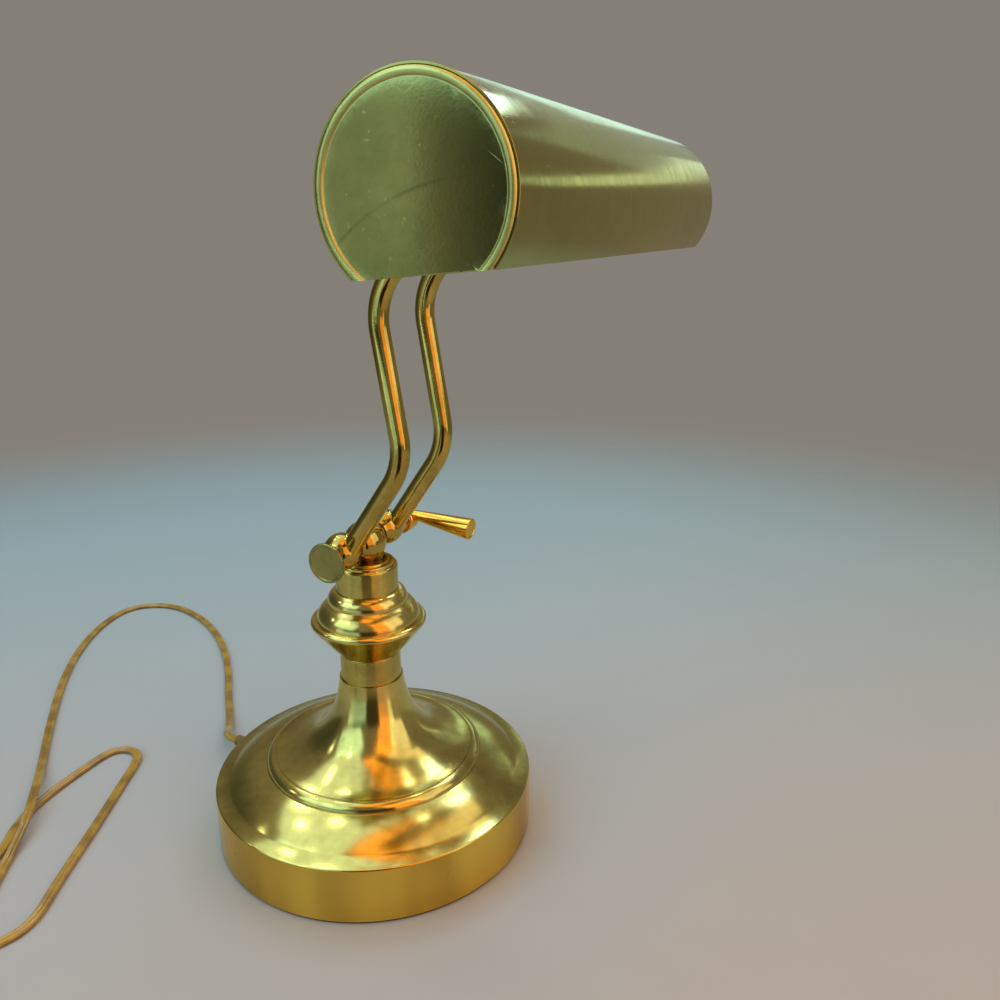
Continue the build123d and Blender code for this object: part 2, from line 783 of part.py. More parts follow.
def make_base_lead():
    low = felt_thick + plate_thick + lead_radius + 0.3
    out = Vector(math.cos(exit_along), math.sin(exit_along), 0)
    start = out * (base_radius + relief_length) + Vector(0, 0, exit_height)
    straight = out * (base_radius - 8) + Vector(0, 0, exit_height)
    down = out * (base_radius - lead_slope) + Vector(0, 0, low)
    up = Vector(0, 0, seat_base - cup_edge - stem_depth - 3)
    bends = [lead_bend, lead_bend, lead_pipe_bend]
    line = FilletPolyline(start, straight, down, (0, 0, low), up, radius=bends)
    return sweep(Plane(line @ 0, z_dir=line % 0) * Circle(lead_radius), path=line)


def make_cord_bushing():
    """The moulded strain relief: a flange on the rim and a taper round the cord."""
    inside = base_radius - base_wall - 2
    body = exit_place(inside) * extrude(Circle(bush_hole_radius), base_radius - inside + 1)
    flange = exit_place(base_radius - 1) * extrude(Circle(bush_flange_radius), bush_flange_thick + 1)
    taper_start = base_radius + bush_flange_thick
    taper_end = base_radius + relief_length
    taper = loft([
        exit_place(taper_start - 0.2) * Circle(bush_hole_radius + 0.4),
        exit_place(taper_end) * Circle(relief_tip_radius),
    ])
    flange -= Cylinder(base_radius + slide_fit, 4 * exit_height)
    bore = exit_place(inside - 1) * extrude(Circle(relief_bore), taper_end - inside + 2)
    return body + flange + taper - bore


# ---------------------------------------------------------------- cord

cord_low = cord_diameter / 2 + 0.2
over = 11.0  # height of the line where it passes over itself
plug_lift = 0.2
coil_entry = (coil_centre[0] + coil_stub, coil_centre[1] + coil_outer_line, cord_low)


def leaving(reach):
    """A point of the cord straight out of its strain relief."""
    out = base_radius + relief_length + reach
    return out * math.cos(exit_along), out * math.sin(exit_along), exit_height


cord_route = [
    leaving(0), leaving(12.5), (19.5, 131.5, 6.8), (39, 142.5, cord_low), (66, 165.5, cord_low),
    (95, 190, cord_low), (130, 227, cord_low), (156, 270, cord_low), (166.5, 313, cord_low),
    (149, 343, cord_low), (113, 339, cord_low), (70, 317.5, cord_low), (28, 286, cord_low),
    (-14, 247, cord_low), (-50, 211, cord_low), (-70, 189.5, over), (-94, 167.5, over),
    (-115, 156, cord_low), (-138, 140.5, cord_low), (-161, 130, cord_low), (-181, 136, cord_low),
    (-187, 155, cord_low), (-174, 170, cord_low), (-152, 168, cord_low), (-133, 159, cord_low),
    (-114, 162.5, cord_low), (-94, 176.5, cord_low), (-68, 183, cord_low), (-42, 184.6, cord_low),
    (-22, 185, cord_low), (-15, 178, cord_low), (-15, 168, cord_low), (-22, 161, cord_low),
    (-42, 152, cord_low), (-80, 133.5, cord_low), (-117, 117, cord_low), (-143, 103.5, cord_low),
    (-160, 108, cord_low), (-177, 121, cord_low), (-194, 127, cord_low), coil_entry,
]


def route_radii(points):
    """The radius at each corner: as large as the shorter of its two runs allows."""
    radii = []
    for before, here, after in zip(points, points[1:], points[2:]):
        first = Vector(*here) - Vector(*before)
        second = Vector(*after) - Vector(*here)
        half_turn = math.radians(first.get_angle(second)) / 2
        radii.append(0.45 * min(first.length, second.length) / math.tan(half_turn))
    return radii


def make_cord():
    radii = route_radii(cord_route)
    print("cord radii", [round(radius, 1) for radius in radii])
    line = FilletPolyline(*cord_route, radius=radii)
    tube = sweep(Plane(line @ 0, z_dir=line % 0) * Circle(cord_diameter / 2), path=line)
    section = math.pi * (cord_diameter / 2) ** 2
    print("cord length", round(line.length, 1), "volume over section", round(tube.volume / section, 1))
    return tube


plug_place = (coil_centre[0] - coil_stub, coil_centre[1] + coil_outer_line)


def make_cord_coil():
    """The put-away turns as one ring, with a short straight where the cord joins and leaves it."""
    outer = coil_outer_line + cord_diameter / 2
    inner = coil_inner_line - cord_diameter / 2
    low = cord_low - cord_diameter / 2
    height = cord_diameter * coil_layers
    body = Pos(*coil_centre, low) * extrude(Circle(outer) - Circle(inner), height)
    body = fillet(body.edges().filter_by(GeomType.CIRCLE), cord_diameter * 0.42)
    low_end, high_end = coil_centre[0] - coil_stub, coil_centre[0] + coil_stub
    return body + rod_x(cord_diameter / 2, low_end, high_end, coil_entry[1], cord_low)


def make_plug_body():
    """A moulded two-blade plug lying on its flat side, with a ribbed taper for the cord."""
    x, y = plug_place
    middle = plug_height / 2 + plug_lift
    back = x - plug_nose_length
    body = Pos(back - plug_length / 2, y, middle) * Box(plug_length, plug_width, plug_height)
    body = fillet(body.edges().filter_by(Axis.X), plug_height * 0.3)
    body = chamfer(body.faces().sort_by(Axis.X)[-1].edges(), 2.0)
    nose = loft([
        Plane((back - 1, y, middle), x_dir=(0, 1, 0), z_dir=(1, 0, 0)) * Circle(plug_height * 0.42),
        Plane((x, y, cord_low), x_dir=(0, 1, 0), z_dir=(1, 0, 0)) * Circle(cord_diameter / 2),
    ])
    return body + nose


def make_plug_blades():
    x, y = plug_place
    middle = plug_height / 2 + plug_lift
    start = x - plug_nose_length - plug_length
    blades = []
    for side in (-1, 1):
        blade = Pos(start - blade_length / 2, y + side * blade_spacing / 2, middle)
        blade = blade * Box(blade_length, blade_thick, blade_width)
        blade = chamfer(blade.faces().sort_by(Axis.X)[0].edges().filter_by(Axis.Z), 0.4)
        hole = Pos(start - blade_length * 0.75, y + side * blade_spacing / 2, middle) * Rot(90, 0, 0)
        blades.append(blade - hole * Cylinder(1.5, blade_thick * 3))
    return Compound(blades)


nodes = {
    "felt_pad": make_felt_pad,
    "base_plate": make_base_plate,
    "base_shell": make_base_shell,
    "base_weight": make_base_weight,
    "lamp_pipe": make_lamp_pipe,
    "pipe_washer": make_pipe_washer,
    "pipe_nut": make_pipe_nut,
    "base_lead": make_base_lead,
    "cord_bushing": make_cord_bushing,
    "neck_ring": make_neck_ring,
    "knob_bowl": make_knob_bowl,
    "knob_cap": make_knob_cap,
    "pivot_cup": make_pivot_cup,
    "seat_ring": make_seat_ring,
    "pivot_ball": make_pivot_ball,
    "arm_near": lambda: make_arm(-arm_offset),
    "arm_far": lambda: make_arm(arm_offset),
    "arm_boss_near": lambda: make_arm_boss(-1),
    "arm_boss_far": lambda: make_arm_boss(1),
    "axle": make_axle,
    "axle_end_cap": make_axle_end_cap,
    "friction_washers": make_friction_washers,
    "arm_eye_near": lambda: make_arm_eye(-arm_offset),
    "arm_eye_far": lambda: make_arm_eye(arm_offset),
    "hinge_rod": make_hinge_rod,
    "arm_lead": make_arm_lead,
    "clamp_hub": lambda: make_clamp_hub() - lever_cone(slide_fit)[0],
    "clamp_lever": make_clamp_lever,
    "shade_tube": make_shade_tube,
    "shade_cap_near": lambda: make_shade_cap(-1),
    "shade_cap_far": lambda: make_shade_cap(1),
    "saddle_near": lambda: make_saddle(-1),
    "saddle_far": lambda: make_saddle(1),
    "saddle_rivets": make_saddle_rivets,
    "holder_shell": make_holder_shell,
    "holder_bush": make_holder_bush,
    "ring_nut": make_ring_nut,
    "holder_insulator": make_holder_insulator,
    "screw_shell": make_screw_shell,
    "centre_contact": make_centre_contact,
    "bulb_cap": make_bulb_cap,
    "bulb_glass": make_bulb_glass,
    "switch_knob": make_switch_knob,
    "shade_lead": make_shade_lead,
    "cord": make_cord,
    "cord_coil": make_cord_coil,
    "plug_body": make_plug_body,
    "plug_blades": make_plug_blades,
}

for name, make in nodes.items():
    export_step(make(), f"parts/{name}.step")
    print(name)
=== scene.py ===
from math import acos, atan2, cos, degrees, hypot, pi, radians, sin, sqrt, tan

import bmesh
import bpy
import numpy as np
from mathutils import Matrix, Vector


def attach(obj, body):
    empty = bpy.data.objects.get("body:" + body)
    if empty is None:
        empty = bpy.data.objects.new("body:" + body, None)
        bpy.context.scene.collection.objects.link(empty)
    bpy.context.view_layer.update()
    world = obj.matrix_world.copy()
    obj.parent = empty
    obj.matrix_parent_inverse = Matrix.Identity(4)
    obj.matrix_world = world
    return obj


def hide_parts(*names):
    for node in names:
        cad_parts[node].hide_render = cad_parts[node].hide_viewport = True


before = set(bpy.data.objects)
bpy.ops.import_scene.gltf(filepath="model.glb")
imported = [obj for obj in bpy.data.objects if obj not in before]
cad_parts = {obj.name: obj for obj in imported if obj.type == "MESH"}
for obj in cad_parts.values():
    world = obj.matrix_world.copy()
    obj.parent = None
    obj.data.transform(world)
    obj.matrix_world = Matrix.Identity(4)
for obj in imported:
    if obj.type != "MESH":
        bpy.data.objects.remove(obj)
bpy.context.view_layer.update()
mm = 0.001
print("frame loaded")


# numbers and links on sockets, so that finishes are written as sums

class Value:
    def __init__(self, finish, socket):
        self.finish = finish
        self.socket = socket

    def maths(self, operation, first, second):
        return self.finish.node("ShaderNodeMath", {"operation": operation}, {0: first, 1: second})

    def __add__(self, other):
        return self.maths("ADD", self, other)

    def __sub__(self, other):
        return self.maths("SUBTRACT", self, other)

    def __rsub__(self, other):
        return self.maths("SUBTRACT", other, self)

    def __mul__(self, other):
        return self.maths("MULTIPLY", self, other)

    def __pow__(self, other):
        return self.maths("POWER", self, other)

    __radd__ = __add__
    __rmul__ = __mul__

    def rises(self, low, high):
        ends = {"Value": self, "From Min": low, "From Max": high}
        return self.finish.node("ShaderNodeMapRange", {"interpolation_type": "SMOOTHSTEP"}, ends)


# the colour sockets of a Mix node, whose names its number sockets share
mixSockets = {"first": 6, "second": 7, "result": 2}


class Finish:
    def __init__(self, name, sky=None, **plain):
        self.material = sky or bpy.data.materials.new(name)
        self.material.use_nodes = True
        self.tree = self.material.node_tree
        self.shader = self.tree.nodes["Background" if sky else "Principled BSDF"]
        self.set(**plain)

    def node(self, kind, settings=None, values=None, output=0):
        made = self.tree.nodes.new(kind)
        for name, value in (settings or {}).items():
            setattr(made, name, value)
        for place, value in (values or {}).items():
            self.give(made.inputs[place], value)
        return Value(self, made.outputs[output])

    def give(self, socket, value):
        if isinstance(value, Value):
            self.tree.links.new(value.socket, socket)
        else:
            socket.default_value = value

    def set(self, **values):
        for socket, value in values.items():
            self.give(self.shader.inputs[socket.replace("_", " ")], value)

    def place(self, kind="Object"):
        return self.node("ShaderNodeTexCoord", output=kind)

    def axes(self, kind="Object"):
        place = self.place(kind)
        return [self.node("ShaderNodeSeparateXYZ", None, {0: place}, output) for output in range(3)]

    def vector(self, x, y, z):
        return self.node("ShaderNodeCombineXYZ", None, {0: x, 1: y, 2: z})

    def stretched(self, axes, scales):
        return self.vector(*[axis * scale for axis, scale in zip(axes, scales)])

    def noise(self, at, scale, detail=3.0, roughness=0.55, distortion=0.0):
        values = {"Vector": at, "Scale": scale, "Detail": detail, "Roughness": roughness}
        values["Distortion"] = distortion
        return self.node("ShaderNodeTexNoise", None, values)

    def mix(self, share, first, second):
        # each colour is a Value or a plain red, green and blue
        first, second = [c if isinstance(c, Value) else (*c, 1) for c in (first, second)]
        values = {"Factor": share, mixSockets["first"]: first, mixSockets["second"]: second}
        return self.node("ShaderNodeMix", {"data_type": "RGBA"}, values, mixSockets["result"])

    def bump(self, height, distance, strength):
        values = {"Height": height, "Distance": distance, "Strength": strength}
        self.set(Normal=self.node("ShaderNodeBump", None, values))


# brass finishes: smudges mix tone and deep, spread varies the roughness, drawn is the brush's pull on
# reflections, lean tilts turned lines, depth is the bump's in metres, spots are tarnish

usualBrass = {
    "spread": 0.08, "drawn": 0, "brush": "none", "lean": 0, "streaks": 0.3, "depth": 0.00003, "spots": 0.4,
    "smudge": 60, "scratch": 0.2,
}
brassLooks = {
    "baseBrass": {
        "tone": (0.70, 0.57, 0.155), "deep": (0.28, 0.21, 0.045), "rough": 0.19, "coat": 0.35, "drawn": 0.8,
        "brush": "turned", "lean": -0.9, "streaks": 0.25, "depth": 0.00004, "spots": 0.6, "smudge": 17,
        "scratch": 0.25,
    },
    "columnBrass": {
        "tone": (0.60, 0.48, 0.115), "deep": (0.34, 0.27, 0.055), "rough": 0.22, "coat": 0.25, "drawn": 0.85,
        "brush": "turned", "lean": 0.9, "streaks": 0.4, "depth": 0.00005,
    },
    "bowlBrass": {
        "tone": (0.74, 0.58, 0.16), "deep": (0.50, 0.38, 0.09), "rough": 0.20, "coat": 0.35, "drawn": 0.6,
        "brush": "turned", "lean": -0.4, "streaks": 0.25, "depth": 0.00004,
    },
    "armBrass": {
        "tone": (0.58, 0.43, 0.10), "deep": (0.34, 0.25, 0.05), "rough": 0.11, "coat": 0.08, "spots": 0.5,
        "smudge": 50, "scratch": 0.3,
    },
    "leverBrass": {
        "tone": (0.95, 0.52, 0.07), "deep": (0.62, 0.32, 0.035), "rough": 0.14, "coat": 0.15, "spread": 0.06,
        "spots": 0.2,
    },
    # the shade's tone is greener than the base's: the green is painted reflection of cool light
    "shadeBrass": {
        "tone": (0.44, 0.395, 0.125), "deep": (0.31, 0.285, 0.08), "rough": 0.13, "coat": 0.2, "spread": 0.20,
        "brush": "rolled", "streaks": 0.9, "depth": 0.00004, "spots": 0.25, "smudge": 16, "scratch": 0.7,
    },
    # the caps' tone is darker and greener than the base's: partly a duller finish, partly painted reflection
    # of cool, dim light
    "capBrass": {
        "tone": (0.40, 0.41, 0.145), "deep": (0.235, 0.26, 0.08), "rough": 0.10, "coat": 0.25, "spread": 0.10,
        "spots": 0.6, "smudge": 26, "scratch": 0.9,
    },
    "discBrass": {
        "tone": (0.34, 0.30, 0.09), "deep": (0.22, 0.19, 0.055), "rough": 0.26, "coat": 0.1, "spots": 0.3,
        "smudge": 80, "scratch": 0.4,
    },
    "plainBrass": {
        "tone": (0.62, 0.48, 0.18), "deep": (0.42, 0.31, 0.10), "rough": 0.32, "coat": 0.0, "spread": 0.10,
        "depth": 0.00006, "spots": 0.2, "smudge": 90,
    },
}
# how each brush's lines run: the scales of the noise along x, y and z
brushes = {"turned": (14, 14, 1100), "rolled": (430, 14, 14), "none": (900, 900, 900)}
# what all brasses share; a pair is where a noise starts to count and where it counts in full
brassShared = {
    "tint": (1.0, 0.90, 0.66, 1), "coatRough": 0.10, "brushTurn": 0.25, "fineScale": 9,
    "smudgeEnds": (0.32, 0.7), "smudgeShare": 0.6, "fineEnds": (0.3, 0.75), "fineShare": 0.2,
    "spotScale": 260.0, "spotEnds": (0.64, 0.74), "spotPlaces": (0.46, 0.6), "tarnish": 0.25,
    "paleGain": 1.25, "paleLift": 0.05, "spotRough": 0.25, "streakRough": 0.15, "scratchRough": 0.3,
    "fineBump": 0.6, "bumpStrength": 0.35,
}
# how each set of scratches slants across and up, and the noise's scales along, aside and through
scratchMarks = {
    "slants": ((0.8, 0.6), (0.5, -0.85), (0.97, 0.2)), "scales": (45, 1500, 30), "ends": (0.70, 0.76),
    "patchScale": 40, "patchEnds": (0.52, 0.66),
}
# the base's upright wall is a warmer brass with soft upright bands: partly its satin finish, partly painted
# reflection of the room
rimBandsAndReflections = {
    "top": 0.0312, "fade": 0.001, "share": 0.9, "wall": (0.94, 0.63, 0.08), "band": (0.52, 0.31, 0.03),
    "scales": (22, 22, 5), "ends": (0.34, 0.66),
}


def scratches(finish, axes):
    # thin long marks: noise drawn out along a slant, kept only where a slow noise is high
    x, y, z = axes
    s = scratchMarks
    marks = 0
    for across, up in s["slants"]:
        along = x * across + y * across + z * up
        aside = z * across - x * up - y * up
        lines = finish.noise(finish.stretched((along, aside, x), s["scales"]), 1.0, 2.0)
        patch = finish.noise(finish.vector(along * s["patchScale"], aside * s["patchScale"], across), 1.0)
        marks = lines.rises(*s["ends"]) * patch.rises(*s["patchEnds"]) + marks
    return marks


# the rim's warm tone and upright bands: partly finish, partly painted reflection of the room
def paintRimBandsAndReflections(finish, axes, colour):
    r = rimBandsAndReflections
    bands = finish.noise(finish.stretched(axes, r["scales"]), 1.0, 2.0, 0.5)
    wall = finish.mix(bands.rises(*r["ends"]), r["wall"], r["band"])
    return finish.mix(axes[2].rises(r["top"], r["top"] - r["fade"]) * r["share"], colour, wall)


def makeBrass(name):
    look = {**usualBrass, **brassLooks[name]}
    b = brassShared
    finish = Finish(name, Metallic=1.0, Anisotropic=look["drawn"], Anisotropic_Rotation=b["brushTurn"])
    finish.set(Specular_Tint=b["tint"], Coat_Weight=look["coat"], Coat_Roughness=b["coatRough"])
    x, y, z = finish.axes()
    place = finish.place()
    up = z + (x * x + y * y) ** 0.5 * look["lean"] if look["brush"] == "turned" else z
    streak = finish.noise(finish.stretched((x, y, up), brushes[look["brush"]]), 1.0, 4.0, 0.65)
    smudge = finish.noise(place, look["smudge"], 4.0, 0.6, 0.4)
    fine = finish.noise(place, look["smudge"] * b["fineScale"], 3.0)
    spots = finish.noise(place, b["spotScale"], 3.0, 0.6).rises(*b["spotEnds"])
    spots = spots * smudge.rises(*b["spotPlaces"])
    marks = scratches(finish, (x, y, z))
    worn = smudge.rises(*b["smudgeEnds"]) * b["smudgeShare"] + fine.rises(*b["fineEnds"]) * b["fineShare"]
    colour = finish.mix(worn + (streak - 0.5) * look["streaks"], look["tone"], look["deep"])
    # the rim gets a warmer, banded tone: partly finish, partly painted reflection
    if name == "baseBrass":
        colour = paintRimBandsAndReflections(finish, (x, y, z), colour)
    tarnish = tuple(channel * b["tarnish"] for channel in look["deep"])
    colour = finish.mix(spots * look["spots"], colour, tarnish)
    pale = tuple(min(1.0, channel * b["paleGain"] + b["paleLift"]) for channel in look["tone"])
    colour = finish.mix(marks * look["scratch"], colour, pale)
    # both noises average a half, so that rough stays the middle
    rough = smudge * look["spread"] + fine * look["spread"] * 0.5 + look["rough"] - look["spread"] * 0.75
    rough = rough + spots * b["spotRough"] + (streak - 0.5) * look["streaks"] * b["streakRough"]
    rough = rough + marks * look["scratch"] * b["scratchRough"]
    if name == "capBrass":
        colour, rough = paintCapWearAndHighlight(finish, (y, z), colour, rough)
    finish.set(Base_Color=colour, Roughness=rough)
    finish.bump(streak + fine * b["fineBump"], look["depth"], b["bumpStrength"])
    return finish


# wear about the middle of a shade's cap: tarnished border, pale flecks, a long curved rub;
# and a painted highlight: the rolled bead is painted paler; places are across and up, in metres
capWearAndHighlight = {
    "middle": (-0.1062, 0.3295), "border": (0.0268, 0.0322), "pale": (0.58, 0.62, 0.26),
    "dark": (0.10, 0.11, 0.04), "crustScale": 130.0, "crustEnds": (0.40, 0.62), "edgeShare": 0.55,
    "edgeRough": 0.10, "fleckScale": 420.0, "fleckEnds": (0.66, 0.72), "fleckPlaces": (0.45, 0.6),
    "fleckShare": 0.7, "rubAt": (-0.1288, 0.2619), "rubRadius": 0.0718, "rubWidth": 0.0009,
    "rubScale": 60.0, "rubEnds": (0.35, 0.6), "rubShare": 0.35, "rubRough": 0.04, "bead": (0.0298, 0.0304),
    "beadHighlightTone": (0.66, 0.64, 0.20), "beadHighlightShare": 0.5, "beadRough": 0.26,
}


def paintCapWearAndHighlight(finish, sides, colour, rough):
    y, z = sides
    w = capWearAndHighlight
    out = ((y - w["middle"][0]) ** 2 + (z - w["middle"][1]) ** 2) ** 0.5
    crust = finish.noise(finish.place(), w["crustScale"], 4.0, 0.7)
    edge = out.rises(*w["border"]) * crust.rises(*w["crustEnds"])
    colour = finish.mix(edge * w["edgeShare"], colour, w["pale"])
    flecks = finish.noise(finish.place(), w["fleckScale"], 3.0).rises(*w["fleckEnds"])
    colour = finish.mix(flecks * crust.rises(*w["fleckPlaces"]) * w["fleckShare"], colour, w["pale"])
    ring = ((y - w["rubAt"][0]) ** 2 + (z - w["rubAt"][1]) ** 2) ** 0.5 - w["rubRadius"]
    rub = 1 - ((ring * ring) ** 0.5).rises(0, w["rubWidth"])
    rub = rub * finish.noise(finish.place(), w["rubScale"], 3.0).rises(*w["rubEnds"])
    colour = finish.mix(rub * w["rubShare"], colour, w["dark"])
    # painted highlight: the bead is mixed towards a paler tone for the bright line along the rolled edge
    bead = out.rises(*w["bead"])
    colour = finish.mix(bead * w["beadHighlightShare"], colour, w["beadHighlightTone"])
    return colour, rough + edge * w["edgeRough"] + rub * w["rubRough"] + bead * w["beadRough"]


# plain finishes: tone, deep tone, roughness, and what differs from makePlain's usual values
plainLooks = {
    "felt": ((0.012, 0.012, 0.013), (0.004, 0.004, 0.005), 0.85, {"depth": 0.0003}),
    "steel": ((0.56, 0.56, 0.55), (0.42, 0.42, 0.41), 0.25, {"metal": 1.0}),
    "castIron": ((0.06, 0.06, 0.06), (0.03, 0.03, 0.03), 0.6, {"depth": 0.0003}),
    "fibre": ((0.10, 0.05, 0.03), (0.05, 0.03, 0.02), 0.6, {}),
    "wire": ((0.30, 0.20, 0.07), (0.20, 0.12, 0.04), 0.35, {}),
    "moulding": ((0.20, 0.13, 0.035), (0.12, 0.08, 0.02), 0.25, {}),
    "porcelain": ((0.78, 0.76, 0.70), (0.66, 0.63, 0.56), 0.15, {}),
    "frosted": ((0.90, 0.89, 0.85), (0.84, 0.83, 0.79), 0.35, {}),
    "zinc": ((0.66, 0.65, 0.62), (0.50, 0.49, 0.46), 0.25, {"metal": 1.0}),
}
plainGrain = {"scale": 400, "ends": (0.3, 0.7), "rough": 0.15, "strength": 0.5}


def makePlain(name, tone, deep, rough, metal=0.0, depth=0.00002):
    finish = Finish(name, Metallic=metal)
    grain = finish.noise(finish.place(), plainGrain["scale"], 4.0)
    colour = finish.mix(grain.rises(*plainGrain["ends"]), tone, deep)
    finish.set(Base_Color=colour, Roughness=grain * plainGrain["rough"] + rough)
    finish.bump(grain, depth, plainGrain["strength"])
    return finish


vinyl = {
    "tone": (0.46, 0.29, 0.04), "deep": (0.27, 0.165, 0.025), "cloudScale": 90.0,
    "cloudEnds": (0.35, 0.65), "skinScale": 700.0, "skinDepth": 0.00005, "skinStrength": 0.4,
}


def makeVinyl():
    finish = Finish("vinyl", Roughness=0.22, Coat_Weight=0.4, Transmission_Weight=0.1, IOR=1.5)
    place = finish.place()
    cloud = finish.noise(place, vinyl["cloudScale"], 3.0).rises(*vinyl["cloudEnds"])
    finish.set(Base_Color=finish.mix(cloud, vinyl["tone"], vinyl["deep"]))
    finish.bump(finish.noise(place, vinyl["skinScale"], 2.0), vinyl["skinDepth"], vinyl["skinStrength"])
    return finish


finishes = {name: makeBrass(name) for name in brassLooks}
for name, (tone, deep, rough, more) in plainLooks.items():
    finishes[name] = makePlain(name, tone, deep, rough, **more)
finishes["vinyl"] = makeVinyl()
print("finishes made")


# outlines

def rounded(points, stepAngle=6.0, largestShare=0.49):
    # points of an open outline: across, up and the corner's rounding
    result = []
    for index, (across, up, size) in enumerate(points):
        here = Vector((across, up))
        if size == 0 or index in (0, len(points) - 1):
            result.append((across, up))
            continue
        before = Vector(points[index - 1][:2]) - here
        after = Vector(points[index + 1][:2]) - here
        half = (pi - before.angle(after)) / 2
        reach = min(size * tan(half), largestShare * min(before.length, after.length))
        middle = (before.normalized() + after.normalized()).normalized()
        radius = reach / tan(half)
        centre = here + middle * hypot(radius, reach)
        start = here + before.normalized() * reach - centre
        end = here + after.normalized() * reach - centre
        turn = start.angle_signed(end)
        steps = max(2, round(abs(degrees(turn)) / stepAngle))
        for step in range(steps + 1):
            spoke = start.copy()
            spoke.rotate(Matrix.Rotation(-turn * step / steps, 2))
            result.append(tuple(centre + spoke))
    return result


def arcThrough(first, middle, last, steps=16):
    (ax, ay), (bx, by), (cx, cy) = first, middle, last
    d = 2 * (ax * (by - cy) + bx * (cy - ay) + cx * (ay - by))
    a2, b2, c2 = ax * ax + ay * ay, bx * bx + by * by, cx * cx + cy * cy
    ux = (a2 * (by - cy) + b2 * (cy - ay) + c2 * (ay - by)) / d
    uy = (a2 * (cx - bx) + b2 * (ax - cx) + c2 * (bx - ax)) / d
    start = atan2(ay - uy, ax - ux)
    turn = (atan2(cy - uy, cx - ux) - start + pi) % (2 * pi) - pi
    radius = hypot(ax - ux, ay - uy)
    angles = [start + turn * step / steps for step in range(steps + 1)]
    return [(ux + radius * cos(angle), uy + radius * sin(angle)) for angle in angles]


def throughPoints(points, startWay, endWay, steps=10):
    # a smooth curve through all points, leaving and arriving in the given ways
    spots = [Vector(point) for point in points]
    ways = [(spots[i + 1] - spots[i - 1]) / 2 for i in range(1, len(spots) - 1)]
    first = Vector(startWay).normalized() * (spots[1] - spots[0]).length
    last = Vector(endWay).normalized() * (spots[-1] - spots[-2]).length
    ways = [first] + ways + [last]
    result = [tuple(spots[0])]
    for i in range(len(spots) - 1):
        for step in range(1, steps + 1):
            t = step / steps
            near = (2 * t**3 - 3 * t**2 + 1) * spots[i] + (t**3 - 2 * t**2 + t) * ways[i]
            far = (-2 * t**3 + 3 * t**2) * spots[i + 1] + (t**3 - t**2) * ways[i + 1]
            result.append(tuple(near + far))
    return result


def inset(points, amount):
    line = np.array(points, float)
    way = np.gradient(line, axis=0)
    way /= np.maximum(np.linalg.norm(way, axis=1), 1e-9)[:, None]
    return [tuple(point) for point in line + np.stack([-way[:, 1], way[:, 0]], 1) * amount]


# meshes, in millimetres until they are put in place

def linked(name, data):
    item = bpy.data.objects.new(name, data)
    bpy.context.scene.collection.objects.link(item)
    return item


def addPiece(name, points, faces, finish, body, sharp=38.0):
    mesh = bpy.data.meshes.new(name)
    mesh.from_pydata([tuple(np.array(point) * mm) for point in points], [], faces)
    shape = bmesh.new()
    shape.from_mesh(mesh)
    bmesh.ops.recalc_face_normals(shape, faces=shape.faces)
    shape.to_mesh(mesh)
    shape.free()
    mesh.shade_smooth()
    mesh.set_sharp_from_angle(angle=radians(sharp))
    mesh.materials.append(finishes[finish].material)
    piece = linked(name, mesh)
    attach(piece, body)
    return piece


def addNode(name, mesh, finish, body, node, sharp=38.0):
    # a piece that stands for one solid
    piece = addPiece(name, *mesh, finish, body, sharp)
    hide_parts(node)
    return piece


def turnedMesh(profile, centre=(0, 0, 0), axis=(0, 0, 1), sides=128, closed=False):
    # profile: (radius, reach along the axis); a radius of 0 makes one point; closed joins its two ends
    along = Vector(axis).normalized()
    side = along.orthogonal().normalized()
    up = along.cross(side)
    points, rings = [], []
    for radius, reach in profile:
        spot = Vector(centre) + along * reach
        if radius < 1e-6:
            rings.append([len(points)])
            points.append(spot)
            continue
        rings.append(list(range(len(points), len(points) + sides)))
        for step in range(sides):
            angle = 2 * pi * step / sides
            points.append(spot + (side * cos(angle) + up * sin(angle)) * radius)
    faces = []
    pairs = list(zip(rings, rings[1:]))
    if closed and len(rings[0]) > 1:
        pairs.append((rings[-1], rings[0]))
    for low, high in pairs:
        for step in range(sides):
            after = (step + 1) % sides
            corners = [low[step % len(low)], low[after % len(low)]]
            corners += [high[after % len(high)], high[step % len(high)]]
            corners = list(dict.fromkeys(corners))
            if len(corners) > 2:
                faces.append(corners)
    return points, faces


def joined(*meshes):
    points, faces = [], []
    for more, their in meshes:
        faces += [[index + len(points) for index in face] for face in their]
        points += list(more)
    return points, faces


def skinned(rings, closedAlong=False, endFaces=False):
    count = len(rings[0])
    points = [point for ring in rings for point in ring]
    faces = []
    for low in range(len(rings) if closedAlong else len(rings) - 1):
        high = (low + 1) % len(rings)
        for step in range(count):
            after = (step + 1) % count
            faces.append([low * count + step, low * count + after, high * count + after, high * count + step])
    if endFaces:
        faces.append(list(range(count))[::-1])
        faces.append(list(range(len(points) - count, len(points))))
    return points, faces


# base: a spun shell on a felted plate

base = {
    "radius": 86.0, "low": 1.5, "rim": 31.0, "crease": 1.0, "shoulder": (79.0, 32.6),
    "dome": (58.6, 41.6), "domeCrown": 1.5, "step": (53.5, 45.8), "neck": (17.0, 88.1),
    "wall": 1.2, "hole": 5.05, "feltRadius": 85.2, "feltLowEdge": 0.5, "feltHighEdge": 0.3,
    "groove": 0.35, "grooveLip": 0.05, "sides": 256,
}
# the trumpet's points, as shares of its run and its rise, and the ways it leaves its foot and meets the neck
trumpet = {
    "shares": ((0.733, 0.069), (0.408, 0.225), (0.162, 0.486), (0.047, 0.768)),
    "start": (-1, 0.12), "end": (-0.12, 1),
}


